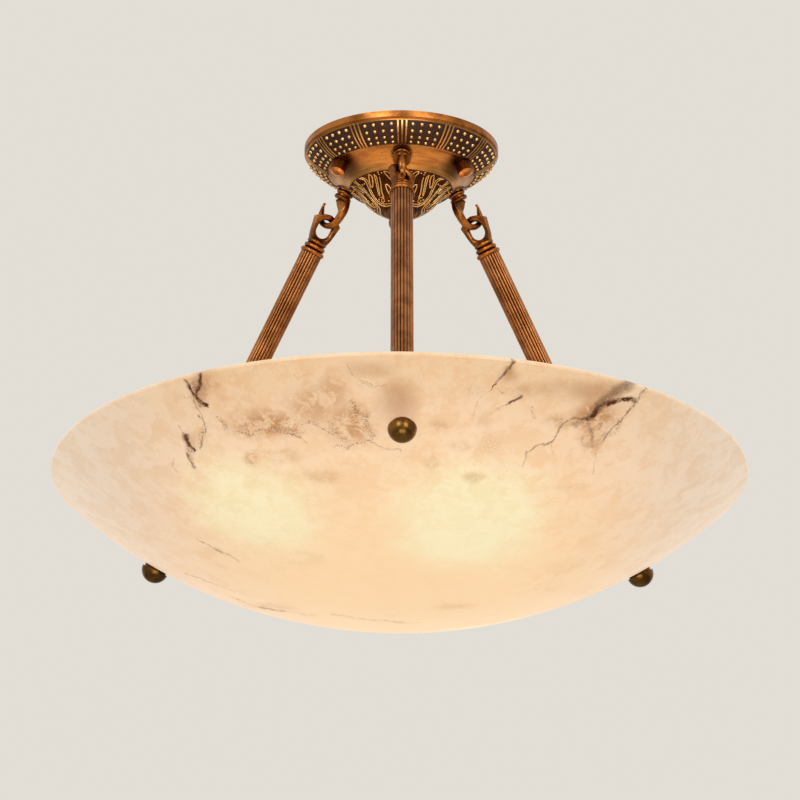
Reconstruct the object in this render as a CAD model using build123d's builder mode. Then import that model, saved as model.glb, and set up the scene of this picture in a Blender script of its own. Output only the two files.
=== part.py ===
from build123d import *
import math
import os

# An alabaster bowl pendant: a shallow stone bowl hung on three reeded rods, whose cast eyes
# sit in three twisted hooks under a small brass ceiling canopy.
#
# Millimetres. Z is up. The origin is on the ceiling, on the lamp's centre line, and the front
# of the lamp is towards -Y. Every profile below is drawn in a plane where X is the distance
# from an axis and Y is the height along it.

# ---------------------------------------------------------------- driving dimensions

ROD_ANGLES = {"front": -90, "right": 30, "left": 150}   # where the three rods hang
NUT_ANGLES = {"right": -30, "rear": 90, "left": 210}    # the canopy's cap nuts, between the rods
ROD_LEAN = 30                   # rods and hooks, from the vertical
QUARTER_TURN = 90               # degrees

RUNNING_FIT = 0.08              # radial play of a thread or a pin that turns
SEAT_GAP = 0.3                  # curved faces that rest on each other

# canopy dish
CANOPY_RADIUS = 71.6
CANOPY_WALL = 2.6
RIM_HEIGHT = 4.6
RIM_LIP = 1.3                   # how far the rim stands out past the dotted band
BAND_INNER_RADIUS = 53.5
BAND_DEPTH = 19.6               # from the ceiling to the inner edge of the band
BAND_BULGE = 1.6
COVE_INNER_RADIUS = 38.2
COVE_DEPTH = 31.8
COVE_HOLLOW = 1.3
LEDGE_WIDTH = 5.0               # flat ring inside the cove that carries the bridge
LEDGE_THICKNESS = 2.4

# ornament cast on the dish
DIVIDER_COUNT = 12
DIVIDER_RIDGES = 3
DIVIDER_PITCH = 2.6             # degrees from ridge to ridge
DIVIDER_WIDTH = 1.1
DIVIDER_HEIGHT = 0.7
DIVIDER_ROOT = 1.2              # how deep a ridge reaches into the wall

# canopy dome, bridge and centre finial
DOME_WALL = 2.5
DOME_DEPTH = 19.0
DOME_FOOT_RADIUS = 14.0
DOME_EDGE = 0.6                 # upright edge under the cove
DOME_HOLLOW_RADIUS = 32.0       # the dome is hollow here, under its edge
DOME_HOLLOW_DEPTH = 3.2         # below the cove
DOME_FLANK_RADIUS = 27.0        # steepest here
DOME_FLANK_DEPTH = 9.2
DOME_BELLY_RADIUS = 21.0        # and full here
DOME_BELLY_DEPTH = 15.2
SPIGOT_HEIGHT = 1.8
BRIDGE_LENGTH = 74
BRIDGE_WIDTH = 14
BRIDGE_THICKNESS = 2.5
CENTRE_ROD_RADIUS = 3.0
CENTRE_ROD_TOP = 7.0            # above the bridge
CENTRE_NUT_WIDTH = 10.0         # across flats
CENTRE_NUT_HEIGHT = 5.0
ROSETTE_RADIUS = 12.6
ROSETTE_HEIGHT = 2.4
ROSETTE_TAPER = 25              # degrees
ROSETTE_PETALS = 12
PETAL_GAP_RADIUS = 1.6
FINIAL_HEIGHT = 22.4
FINIAL_NECK_RADIUS = 5.2        # above and below the urn
FINIAL_URN_RADIUS = 9.0
FINIAL_URN_HEIGHT = 11.2
FINIAL_BALL_RADIUS = 6.6

# ceiling plate, its studs and the cap nuts
PLATE_RADIUS = 56
PLATE_THICKNESS = 2.5
PLATE_CABLE_HOLE = 11           # radius
SCREW_SPACING = 88.9            # the two box screws, 3.5 inch apart
SCREW_SLOT_WIDTH = 4.8
SCREW_SLOT_LENGTH = 11
NUT_LEAN = 22                   # the studs and cap nuts, from the vertical
NUT_SEAT_RADIUS = 51.4
NUT_SEAT_DEPTH = 22.0
NUT_SEAT_PAD = 6.6              # radius of the pads cast on both sides of the wall
NUT_SEAT_THICKNESS = 6.4
STUD_RADIUS = 2.5
STUD_BOSS_RADIUS = 5.5
STUD_BOSS_DEPTH = 7.0           # from the ceiling down to the end of the boss
STUD_ENGAGEMENT = 5.5
CLEARANCE_HOLE = 0.4            # radial, where a stud or a shank passes a wall
SPOTFACE = 8                    # how far the cut for a seat reaches out of the wall
CAP_NUT_RADIUS = 5.6
CAP_NUT_HEIGHT = 9.6
CAP_NUT_CROWN = 1.2
CAP_NUT_THREAD = 7.0

# hooks
LINK_RADIUS = 62.4              # where the rod's axis meets the top of its eye
LINK_DEPTH = 44.7
HOOK_CRADLE_RADIUS = 5.9        # inside of the hook's bend
EYE_REST = 1.7                  # hung askew, the eye bears on both sides of the cradle
HOOK_THICKNESS = 4.2            # at the bend
HOOK_WIDTH = 5.4                # at the bend
STRAP_WIDTH = 11.0              # at the collar, where the strap lies in the plane of the rod
STRAP_THICKNESS = 3.6
STRAP_SWELL = 2.2               # thicker by this much halfway through its twist
STRAP_BELLY_RADIUS = 49.3
STRAP_BELLY_DEPTH = 38.5
STRAP_START = -98               # direction of the strap where it leaves the collar, degrees
BEND_START = 225                # the bend, in degrees about its centre
BEND_END = 365
HORN_TIP_RADIUS = 64.6
HORN_TIP_DEPTH = 30.0
HORN_TIP_DIRECTION = 130
HORN_TIP_WIDTH = 2.2
HORN_TIP_THICKNESS = 1.3
HOOK_SECTIONS = 12
TWIST_SHARE = 0.5               # share of the hook's length in which the strap turns by 90 degrees
HORN_SHARE = 0.75               # from this share on the hook tapers to its tip
STRAP_CORNER_SHARE = 0.3        # corner radius as a share of the thickness, at the collar
HOOK_CORNER_SHARE = 0.48        # the same at the bend, where the strap is nearly round
COLLAR_RADIUS_FROM_AXIS = 49.8
COLLAR_DEPTH = 29.2
HOOK_COLLAR_RADIUS = 6.6
HOOK_COLLAR_STEP = 4.2          # from the lower ring to the upper one
HOOK_SEAT_RADIUS = 7.6          # pads on both sides of the wall
HOOK_SEAT_THICKNESS = 6.0
SHANK_RADIUS = 4.0
HOOK_WASHER_RADIUS = 7.4
HOOK_WASHER_THICKNESS = 1.6
HOOK_NUT_WIDTH = 13.0           # across flats
HOOK_NUT_HEIGHT = 6.0
SHANK_END = 1.5                 # past the nut

# rods and their eyes
ROD_CORE_RADIUS = 7.1
REED_RADIUS = 1.1
REED_RING_RADIUS = 6.9
REED_COUNT = 20
ROD_BORE_RADIUS = 5.0
EYE_TURN = {"front": -57, "right": -57, "left": 57}     # the eyes hang askew in the hooks
EYE_OPENING_WIDTH = 11.0
EYE_OPENING_HEIGHT = 14.1
EYE_CROWN = 4.7                 # bar over the opening
EYE_TIP_HALF_WIDTH = 10.8       # the prongs end in pointed shoulders
EYE_TIP_DEPTH = 0.8             # below the top of the opening
EYE_ARCH_HALF_WIDTH = 5.8       # halfway up the crown
EYE_ARCH_HEIGHT = 2.9
EYE_THICKNESS = 5.4
EYE_ROUNDING = 1.0              # outer edges
OPENING_ROUNDING = 2.4          # edges of the opening, where the hook bears
SHOULDER_ROUNDING = 0.9
EYE_BASE = 18.0                 # from the link down into the cup
EYE_BASE_HALF_WIDTH = 6.6
EYE_BASE_FLARE = 62             # direction of the prongs' outer sides at the cup, degrees
EYE_TIP_FLARE = 76              # and at their tips
BEAD_HEIGHT = 3.2
BEAD_FULLNESS_SHARE = 0.35      # how far a bead stands out, as a share of its height
BEAD_STEP = 3.9                 # from one bead of the eye's foot to the next
CUP_RADIUS = 7.5                # upper bead
RING_RADIUS = 8.2               # middle bead
COLLAR_RADIUS = 9.2             # lower bead
CUP_TOP = 14.8                  # below the link
CUP_TOP_RADIUS = 5.2
COLLAR_BELOW_LINK = 27.6        # the eye's lower face, where the rod starts
SPIGOT_LENGTH = 20

# bowl
BOWL_RADIUS = 250
BOWL_DEPTH = 102
BOWL_WALL = 11
RIM_BELOW_CEILING = 255
RIM_BAND = 3.0                  # upright edge under the rim
RIM_ROUNDING = 1.4
BOWL_HOLE_RADIUS = 4.0

# rod feet, washers and ball knobs
FOOT_FLANGE_RADIUS = 8.5
FOOT_FLANGE_THICKNESS = 3.0
FOOT_PLUG_LENGTH = 22
FOOT_STUD_RADIUS = 3.0
INNER_WASHER_RADIUS = 8.0
INNER_WASHER_THICKNESS = 3.0
OUTER_WASHER_RADIUS = 8.6
OUTER_WASHER_THICKNESS = 1.8
KNOB_RADIUS = 10.0
KNOB_HEIGHT = 9.6
KNOB_THREAD = 6.5

# lamp bracket, lampholders and bulbs
BRACKET_THICKNESS = 1.6
LEG_WIDTH = 16
TAB_INNER_LENGTH = 12
TAB_OUTER_LENGTH = 9
LEG_OVERLAP = 3                 # of a leg on the hub
HUB_RADIUS = 44
HUB_HOLE_RADIUS = 14
HUB_BELOW_RIM = 50              # the hub hangs inside the bowl
LUG_RADIUS = 38                 # distance of the lugs from the centre line
LUG_WIDTH = 20
LUG_HEIGHT = 25
LAMP_HEIGHT = 16                # axis of the lampholders above the hub
LAMP_ANGLES = {"right": -66, "rear": 54, "left": 174}  # each beside a leg of the bracket
HOLDER_RADIUS = 13.5
HOLDER_LENGTH = 42
HOLDER_NECK_RADIUS = 8.5
HOLDER_NECK_LENGTH = 8
HOLDER_CUP_DEPTH = 26
HOLDER_ROUNDING = 2
NIPPLE_RADIUS = 4.8
NIPPLE_LENGTH = 16
NIPPLE_NUT_WIDTH = 14
NIPPLE_NUT_HEIGHT = 3
CAP_RADIUS = 6.9                # the bulb's screw cap
CAP_LENGTH = 22
BULB_RADIUS = 22.5
BULB_LENGTH = 52                # glass past the cap
BULB_NECK_LENGTH = 5
BULB_SHOULDER = -30             # where the neck runs into the ball, in degrees about its centre
BULB_GLASS_WALL = 0.8

# terminal block
BLOCK_LENGTH = 24
BLOCK_WIDTH = 12
BLOCK_HEIGHT = 11
BLOCK_WAYS = 3
BLOCK_SCREW_RADIUS = 1.8
BLOCK_OFFSET = 20               # from the centre line, along the bridge

# ---------------------------------------------------------------- planes and axes


def radial_plane(angle):
    """Plane through the centre line: local X is the radius, local Y is up."""
    a = math.radians(angle)
    return Plane(
        origin=(0, 0, 0),
        x_dir=(math.cos(a), math.sin(a), 0),
        z_dir=(math.sin(a), -math.cos(a), 0),
    )


def leaning_plane(angle, radius, height, lean):
    """Plane across an axis that leans outwards on its way down: local Z is up that axis."""
    a = math.radians(angle)
    t = math.radians(lean)
    return Plane(
        origin=(radius * math.cos(a), radius * math.sin(a), height),
        x_dir=(math.cos(t) * math.cos(a), math.cos(t) * math.sin(a), math.sin(t)),
        z_dir=(-math.sin(t) * math.cos(a), -math.sin(t) * math.sin(a), math.cos(t)),
    )


def lengthwise(place, turn=0):
    """Plane that holds the local Z axis of a place: local X is across it, local Y along it."""
    turned = Plane(place.location * Rotation(0, 0, turn))
    return Plane(origin=turned.origin, x_dir=turned.x_dir, z_dir=-turned.y_dir)


def axis_of(place):
    return Axis(place.origin, place.z_dir)


def link_place(name):
    """On the rod's axis, at the top of the opening of its eye."""
    return leaning_plane(ROD_ANGLES[name], LINK_RADIUS, -LINK_DEPTH, ROD_LEAN)


def collar_place(name):
    """On the hook's shank, at the middle of its lower ring."""
    return leaning_plane(ROD_ANGLES[name], COLLAR_RADIUS_FROM_AXIS, -COLLAR_DEPTH, ROD_LEAN)


def nut_place(name):
    """On the stud's axis, at the outer seat of its cap nut."""
    return leaning_plane(NUT_ANGLES[name], NUT_SEAT_RADIUS, -NUT_SEAT_DEPTH, NUT_LEAN)


def lamp_place(name):
    """On a lampholder's axis, at the outer face of its lug: local Z points outwards."""
    a = math.radians(LAMP_ANGLES[name])
    face = LUG_RADIUS + BRACKET_THICKNESS
    return Plane(
        origin=(face * math.cos(a), face * math.sin(a), hub_bottom + LAMP_HEIGHT),
        x_dir=(0, 0, 1),
        z_dir=(math.cos(a), math.sin(a), 0),
    )


def direction(angle):
    """Unit vector of a direction in a profile plane, in degrees from local X."""
    return (math.cos(math.radians(angle)), math.sin(math.radians(angle)))


# ---------------------------------------------------------------- derived dimensions

sphere_depth = BOWL_DEPTH - RIM_BAND
sphere_radius = (BOWL_RADIUS**2 + sphere_depth**2) / (2 * sphere_depth)
sphere_height = sphere_radius - BOWL_DEPTH - RIM_BELOW_CEILING
inner_sphere_radius = sphere_radius - BOWL_WALL


def distance_to_sphere(radius):
    """Distance down the rod's axis from the link to a sphere about the bowl's centre."""
    t = math.radians(ROD_LEAN)
    across = LINK_RADIUS * math.sin(t) - (-LINK_DEPTH - sphere_height) * math.cos(t)
    from_centre = LINK_RADIUS**2 + (-LINK_DEPTH - sphere_height) ** 2
    return -across + math.sqrt(across**2 - from_centre + radius**2)


to_inner_wall = distance_to_sphere(inner_sphere_radius)
to_outer_wall = distance_to_sphere(sphere_radius)
washer_top = to_inner_wall - INNER_WASHER_THICKNESS
tab_top = washer_top - BRACKET_THICKNESS
rod_bottom = tab_top - FOOT_FLANGE_THICKNESS
rod_length = rod_bottom - COLLAR_BELOW_LINK
knob_seat = to_outer_wall + OUTER_WASHER_THICKNESS
knob_bottom = -knob_seat - KNOB_HEIGHT

hook_seat = HOOK_COLLAR_STEP + BEAD_HEIGHT / 2     # outer pad, above the lower ring
washer_seat = hook_seat + HOOK_SEAT_THICKNESS             # inner pad
hook_nut_bottom = washer_seat + HOOK_WASHER_THICKNESS
shank_top = hook_nut_bottom + HOOK_NUT_HEIGHT + SHANK_END

lean = math.radians(ROD_LEAN)
bend_radius = HOOK_CRADLE_RADIUS + HOOK_THICKNESS / 2
bend_centre = (
    LINK_RADIUS - (HOOK_CRADLE_RADIUS - EYE_REST) * math.sin(lean),
    -LINK_DEPTH + (HOOK_CRADLE_RADIUS - EYE_REST) * math.cos(lean),
)

boss_bottom = (NUT_SEAT_DEPTH - STUD_BOSS_DEPTH) / math.cos(math.radians(NUT_LEAN))
stud_top = boss_bottom + STUD_ENGAGEMENT

ledge_radius = COVE_INNER_RADIUS - LEDGE_WIDTH
bridge_bottom = -COVE_DEPTH + LEDGE_THICKNESS
bridge_top = bridge_bottom + BRIDGE_THICKNESS
dome_bottom = -COVE_DEPTH - DOME_DEPTH
finial_top = dome_bottom - ROSETTE_HEIGHT
centre_rod_bottom = finial_top - FINIAL_URN_HEIGHT
hub_bottom = -RIM_BELOW_CEILING - HUB_BELOW_RIM
hub_top = hub_bottom + BRACKET_THICKNESS


def point_between(start, end, bulge):
    """Middle of a straight line, moved to the left of its direction by a bulge."""
    run = end[0] - start[0]
    rise = end[1] - start[1]
    length = math.hypot(run, rise)
    middle = ((start[0] + end[0]) / 2, (start[1] + end[1]) / 2)
    return (middle[0] - rise / length * bulge, middle[1] + run / length * bulge)


def rod_point(across, down):
    """Radius and height of a point given across and down the rod's axis, from the link."""
    return (
        LINK_RADIUS + across * math.cos(lean) + down * math.sin(lean),
        -LINK_DEPTH + across * math.sin(lean) - down * math.cos(lean),
    )


def bend_point(angle):
    """Point on the middle line of the hook's bend."""
    x, y = direction(angle)
    return (bend_centre[0] + bend_radius * x, bend_centre[1] + bend_radius * y)


def ease(share):
    """From 0 to 1, slow at both ends."""
    share = min(max(share, 0), 1)
    return share * share * (3 - 2 * share)


def bead(radius, height):
    """Half-round side of a turned bead, drawn upwards from below its widest place."""
    shoulder = radius - BEAD_HEIGHT * BEAD_FULLNESS_SHARE
    return ThreePointArc(
        (shoulder, height - BEAD_HEIGHT / 2),
        (radius, height),
        (shoulder, height + BEAD_HEIGHT / 2),
    )


os.makedirs("parts", exist_ok=True)


def save(piece, name):
    piece.label = name
    export_step(piece, f"parts/{name}.step")


# ---------------------------------------------------------------- canopy dish

rim_edge = (CANOPY_RADIUS - RIM_LIP, -RIM_HEIGHT - RIM_LIP)
band_edge = (BAND_INNER_RADIUS, -BAND_DEPTH)
band_middle = point_between(band_edge, rim_edge, -BAND_BULGE)
cove_edge = (COVE_INNER_RADIUS, -COVE_DEPTH)
cove_middle = point_between(cove_edge, band_edge, COVE_HOLLOW)
rim_bore = CANOPY_RADIUS - CANOPY_WALL
ledge_top = -COVE_DEPTH + LEDGE_THICKNESS
ledge_end = (COVE_INNER_RADIUS - CANOPY_WALL / 3, ledge_top)


def inwards(point, depth):
    """Point at a depth under a point of the band's outer face, or over it where that is negative."""
    slope = math.atan2(BAND_DEPTH - RIM_HEIGHT - RIM_LIP, CANOPY_RADIUS - RIM_LIP - BAND_INNER_RADIUS)
    return (point[0] - depth * math.sin(slope), point[1] + depth * math.cos(slope))


inner_rim = inwards(rim_edge, CANOPY_WALL)
inner_band = inwards(band_middle, CANOPY_WALL)
inner_band_edge = inwards(band_edge, CANOPY_WALL)
inner_cove = inwards(cove_middle, CANOPY_WALL)

with BuildPart() as divider_ridge:
    with BuildSketch(Plane.XZ):
        with BuildLine():
            Line(inwards(rim_edge, DIVIDER_ROOT), inwards(rim_edge, -DIVIDER_HEIGHT / 2))
            ThreePointArc(
                inwards(rim_edge, -DIVIDER_HEIGHT / 2),
                inwards(band_middle, -DIVIDER_HEIGHT),
                inwards(band_edge, -DIVIDER_HEIGHT / 2),
            )
            Polyline(
                inwards(band_edge, -DIVIDER_HEIGHT / 2),
                inwards(band_edge, DIVIDER_ROOT),
                inwards(rim_edge, DIVIDER_ROOT),
            )
        make_face()
    extrude(amount=DIVIDER_WIDTH / 2, both=True)

with BuildPart() as canopy_dish:
    with BuildSketch(Plane.XZ):
        with BuildLine():
            Line((CANOPY_RADIUS, 0), (CANOPY_RADIUS, -RIM_HEIGHT))
            Line((CANOPY_RADIUS, -RIM_HEIGHT), rim_edge)
            ThreePointArc(rim_edge, band_middle, band_edge)
            ThreePointArc(band_edge, cove_middle, cove_edge)
            Polyline(cove_edge, (ledge_radius, -COVE_DEPTH), (ledge_radius, ledge_top), ledge_end)
            ThreePointArc(ledge_end, inner_cove, inner_band_edge)
            ThreePointArc(inner_band_edge, inner_band, inner_rim)
            Polyline(inner_rim, (rim_bore, -RIM_HEIGHT), (rim_bore, 0), (CANOPY_RADIUS, 0))
        make_face()
    revolve(axis=Axis.Z)
    for name in ROD_ANGLES:
        seat = collar_place(name).offset(hook_seat)
        with BuildSketch(seat):
            Circle(HOOK_SEAT_RADIUS)
        extrude(amount=HOOK_SEAT_THICKNESS)
        with BuildSketch(seat):
            Circle(HOOK_SEAT_RADIUS)
        extrude(amount=-SPOTFACE, mode=Mode.SUBTRACT)
        with BuildSketch(seat):
            Circle(SHANK_RADIUS + CLEARANCE_HOLE)
        extrude(amount=HOOK_SEAT_THICKNESS, mode=Mode.SUBTRACT)
    for name in NUT_ANGLES:
        seat = nut_place(name)
        with BuildSketch(seat):
            Circle(NUT_SEAT_PAD)
        extrude(amount=NUT_SEAT_THICKNESS)
        with BuildSketch(seat):
            Circle(NUT_SEAT_PAD)
        extrude(amount=-SPOTFACE, mode=Mode.SUBTRACT)
        with BuildSketch(seat):
            Circle(STUD_RADIUS + CLEARANCE_HOLE)
        extrude(amount=NUT_SEAT_THICKNESS, mode=Mode.SUBTRACT)
    for ridge in range(DIVIDER_RIDGES):
        turn = (ridge - (DIVIDER_RIDGES - 1) / 2) * DIVIDER_PITCH
        with PolarLocations(0, DIVIDER_COUNT, start_angle=turn):
            add(divider_ridge.part)
save(canopy_dish.part, "canopy_dish")

# ---------------------------------------------------------------- canopy dome and bridge

dome_profile = [
    (COVE_INNER_RADIUS, -COVE_DEPTH - DOME_EDGE),
    (DOME_HOLLOW_RADIUS, -COVE_DEPTH - DOME_HOLLOW_DEPTH),
    (DOME_FLANK_RADIUS, -COVE_DEPTH - DOME_FLANK_DEPTH),
    (DOME_BELLY_RADIUS, -COVE_DEPTH - DOME_BELLY_DEPTH),
    (DOME_FOOT_RADIUS, dome_bottom),
]
spigot_bore = ledge_radius - DOME_WALL
inner_flank = (DOME_FLANK_RADIUS - DOME_WALL, -COVE_DEPTH - DOME_FLANK_DEPTH + DOME_WALL / 2)
inner_belly = (DOME_BELLY_RADIUS - DOME_WALL, -COVE_DEPTH - DOME_BELLY_DEPTH + DOME_WALL)
inner_foot = (DOME_FOOT_RADIUS - DOME_WALL, dome_bottom + DOME_WALL)

with BuildPart() as canopy_dome:
    with BuildSketch(Plane.XZ):
        with BuildLine():
            Line((COVE_INNER_RADIUS, -COVE_DEPTH), dome_profile[0])
            Spline(*dome_profile)
            Polyline(
                dome_profile[-1],
                (0, dome_bottom),
                (0, dome_bottom + DOME_WALL),
                inner_foot,
                inner_belly,
                inner_flank,
                (spigot_bore, -COVE_DEPTH),
                (spigot_bore, -COVE_DEPTH + SPIGOT_HEIGHT),
                (ledge_radius - RUNNING_FIT, -COVE_DEPTH + SPIGOT_HEIGHT),
                (ledge_radius - RUNNING_FIT, -COVE_DEPTH),
                (COVE_INNER_RADIUS, -COVE_DEPTH),
            )
        make_face()
    revolve(axis=Axis.Z)
    with BuildSketch(Plane.XY.offset(dome_bottom)):
        Circle(CENTRE_ROD_RADIUS + RUNNING_FIT)
    extrude(amount=DOME_WALL, mode=Mode.SUBTRACT)
save(canopy_dome.part, "canopy_dome")

with BuildPart() as dome_bridge:
    with BuildSketch(Plane.XY.offset(bridge_bottom)):
        SlotOverall(BRIDGE_LENGTH, BRIDGE_WIDTH)
        Circle(CENTRE_ROD_RADIUS + RUNNING_FIT, mode=Mode.SUBTRACT)
    extrude(amount=BRIDGE_THICKNESS)
save(dome_bridge.part, "dome_bridge")

with BuildPart() as centre_rod:
    with BuildSketch(Plane.XY.offset(centre_rod_bottom)):
        Circle(CENTRE_ROD_RADIUS)
    extrude(amount=bridge_top + CENTRE_ROD_TOP - centre_rod_bottom)
save(centre_rod.part, "centre_rod")

with BuildPart() as centre_nut:
    with BuildSketch(Plane.XY.offset(bridge_top)):
        RegularPolygon(CENTRE_NUT_WIDTH / 2, 6, major_radius=False)
        Circle(CENTRE_ROD_RADIUS + RUNNING_FIT, mode=Mode.SUBTRACT)
    extrude(amount=CENTRE_NUT_HEIGHT)
save(centre_nut.part, "centre_nut")

with BuildPart() as rosette:
    with BuildSketch(Plane.XY.offset(dome_bottom)):
        Circle(ROSETTE_RADIUS)
        with PolarLocations(ROSETTE_RADIUS + PETAL_GAP_RADIUS / 2, ROSETTE_PETALS):
            Circle(PETAL_GAP_RADIUS, mode=Mode.SUBTRACT)
    extrude(amount=-ROSETTE_HEIGHT, taper=ROSETTE_TAPER)
    with BuildSketch(Plane.XY.offset(dome_bottom)):
        Circle(CENTRE_ROD_RADIUS + RUNNING_FIT)
    extrude(amount=-ROSETTE_HEIGHT, mode=Mode.SUBTRACT)
save(rosette.part, "rosette")

finial_neck = (FINIAL_NECK_RADIUS, finial_top)
finial_urn = (FINIAL_URN_RADIUS, finial_top - FINIAL_URN_HEIGHT / 2)
finial_waist = (FINIAL_NECK_RADIUS, finial_top - FINIAL_URN_HEIGHT)
finial_bottom = finial_top - FINIAL_HEIGHT
finial_ball = finial_bottom + FINIAL_BALL_RADIUS
ball_top = math.degrees(math.acos(FINIAL_NECK_RADIUS / FINIAL_BALL_RADIUS))

with BuildPart() as centre_finial:
    with BuildSketch(Plane.XZ):
        with BuildLine():
            Line((0, finial_top), finial_neck)
            ThreePointArc(finial_neck, finial_urn, finial_waist)
            ball = CenterArc(
                (0, finial_ball),
                FINIAL_BALL_RADIUS,
                start_angle=-QUARTER_TURN,
                arc_size=QUARTER_TURN + ball_top,
            )
            Line(finial_waist, ball @ 1)
            Line((0, finial_bottom), (0, finial_top))
        make_face()
    revolve(axis=Axis.Z)
    with BuildSketch(Plane.XY.offset(centre_rod_bottom)):
        Circle(CENTRE_ROD_RADIUS + RUNNING_FIT)
    extrude(amount=finial_top - centre_rod_bottom, mode=Mode.SUBTRACT)
save(centre_finial.part, "centre_finial")

with BuildPart() as terminal_block:
    with BuildSketch(Plane.XY.offset(bridge_top)):
        with Locations((BLOCK_OFFSET, 0)):
            Rectangle(BLOCK_LENGTH, BLOCK_WIDTH)
    extrude(amount=BLOCK_HEIGHT)
    with BuildSketch(Plane.XY.offset(bridge_top + BLOCK_HEIGHT)):
        with Locations((BLOCK_OFFSET, 0)):
            with GridLocations(BLOCK_LENGTH / BLOCK_WAYS, BLOCK_WIDTH / 2, BLOCK_WAYS, 2):
                Circle(BLOCK_SCREW_RADIUS)
    extrude(amount=-BLOCK_HEIGHT / 2, mode=Mode.SUBTRACT)
save(terminal_block.part, "terminal_block")

# ---------------------------------------------------------------- ceiling plate, studs, cap nuts

with BuildPart() as mounting_plate:
    with BuildSketch(Plane.XY.offset(-PLATE_THICKNESS)):
        Circle(PLATE_RADIUS)
        Circle(PLATE_CABLE_HOLE, mode=Mode.SUBTRACT)
    extrude(amount=PLATE_THICKNESS)
    for name in NUT_ANGLES:
        with BuildSketch(nut_place(name).offset(boss_bottom)):
            Circle(STUD_BOSS_RADIUS)
        extrude(amount=2 * STUD_BOSS_DEPTH)
    split(bisect_by=Plane.XY, keep=Keep.BOTTOM)
    for name in NUT_ANGLES:
        with BuildSketch(nut_place(name).offset(boss_bottom)):
            Circle(STUD_RADIUS + RUNNING_FIT)
        extrude(amount=STUD_ENGAGEMENT, mode=Mode.SUBTRACT)
    with BuildSketch(Plane.XY.offset(-PLATE_THICKNESS)):
        with GridLocations(SCREW_SPACING, 0, 2, 1):
            SlotOverall(SCREW_SLOT_LENGTH, SCREW_SLOT_WIDTH)
    extrude(amount=PLATE_THICKNESS, mode=Mode.SUBTRACT)
save(mounting_plate.part, "mounting_plate")

with BuildPart() as mounting_studs:
    for name in NUT_ANGLES:
        with BuildSketch(nut_place(name).offset(-CAP_NUT_THREAD)):
            Circle(STUD_RADIUS)
        extrude(amount=CAP_NUT_THREAD + stud_top)
save(mounting_studs.part, "mounting_studs")

for name in NUT_ANGLES:
    place = nut_place(name)
    with BuildPart() as cap_nut:
        with BuildSketch(place):
            Circle(CAP_NUT_RADIUS)
        extrude(amount=-CAP_NUT_HEIGHT)
        crown = cap_nut.faces().sort_by(axis_of(place))[0]
        chamfer(crown.edges(), length=CAP_NUT_CROWN, length2=CAP_NUT_RADIUS / 2)
        with BuildSketch(place):
            Circle(STUD_RADIUS + RUNNING_FIT)
        extrude(amount=-CAP_NUT_THREAD, mode=Mode.SUBTRACT)
    save(cap_nut.part, f"cap_nut_{name}")

# ---------------------------------------------------------------- hooks


def hook_section(share):
    """Width, thickness, corner radius and twist of the strap at a share of its length."""
    turned = ease(share / TWIST_SHARE)
    tapered = ease((share - HORN_SHARE) / (1 - HORN_SHARE))
    width = STRAP_WIDTH + (HOOK_WIDTH - STRAP_WIDTH) * turned
    thickness = STRAP_THICKNESS + (HOOK_THICKNESS - STRAP_THICKNESS) * turned
    thickness += STRAP_SWELL * math.sin(math.pi * turned)
    width += (HORN_TIP_WIDTH - HOOK_WIDTH) * tapered
    thickness += (HORN_TIP_THICKNESS - HOOK_THICKNESS) * tapered
    corner = STRAP_CORNER_SHARE + (HOOK_CORNER_SHARE - STRAP_CORNER_SHARE) * turned
    return width, thickness, corner * min(width, thickness), QUARTER_TURN * turned


for name, angle in ROD_ANGLES.items():
    place = collar_place(name)
    side = radial_plane(angle)
    twist_sign = math.copysign(1, EYE_TURN[name])
    with BuildPart() as hook_arm:
        with BuildLine(side) as spine:
            Spline(
                (COLLAR_RADIUS_FROM_AXIS, -COLLAR_DEPTH),
                (STRAP_BELLY_RADIUS, -STRAP_BELLY_DEPTH),
                bend_point(BEND_START),
                tangents=(direction(STRAP_START), direction(BEND_START + QUARTER_TURN)),
            )
            ThreePointArc(
                bend_point(BEND_START),
                bend_point((BEND_START + BEND_END) / 2),
                bend_point(BEND_END),
            )
            Spline(
                bend_point(BEND_END),
                (HORN_TIP_RADIUS, -HORN_TIP_DEPTH),
                tangents=(direction(BEND_END + QUARTER_TURN), direction(HORN_TIP_DIRECTION)),
            )
        path = spine.wires()[0]
        for step in range(HOOK_SECTIONS):
            share = step / (HOOK_SECTIONS - 1)
            width, thickness, corner, twist = hook_section(share)
            along = path % share
            section = Plane(origin=path @ share, x_dir=along.cross(side.z_dir), z_dir=along)
            with BuildSketch(section):
                RectangleRounded(width, thickness, corner, rotation=twist * twist_sign)
        loft()
        with BuildSketch(lengthwise(place)):
            with BuildLine():
                lower = bead(HOOK_COLLAR_RADIUS, 0)
                upper = bead(HOOK_COLLAR_RADIUS, HOOK_COLLAR_STEP)
                Line(lower @ 1, upper @ 0)
                Polyline(
                    upper @ 1,
                    (SHANK_RADIUS, hook_seat),
                    (SHANK_RADIUS, shank_top),
                    (0, shank_top),
                    (0, -BEAD_HEIGHT / 2),
                    lower @ 0,
                )
            make_face()
        revolve(axis=axis_of(place))
    save(hook_arm.part, f"hook_arm_{name}")

with BuildPart() as hook_washers:
    for name in ROD_ANGLES:
        with BuildSketch(collar_place(name).offset(washer_seat)):
            Circle(HOOK_WASHER_RADIUS)
            Circle(SHANK_RADIUS + RUNNING_FIT, mode=Mode.SUBTRACT)
        extrude(amount=HOOK_WASHER_THICKNESS)
save(hook_washers.part, "hook_washers")

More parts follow.
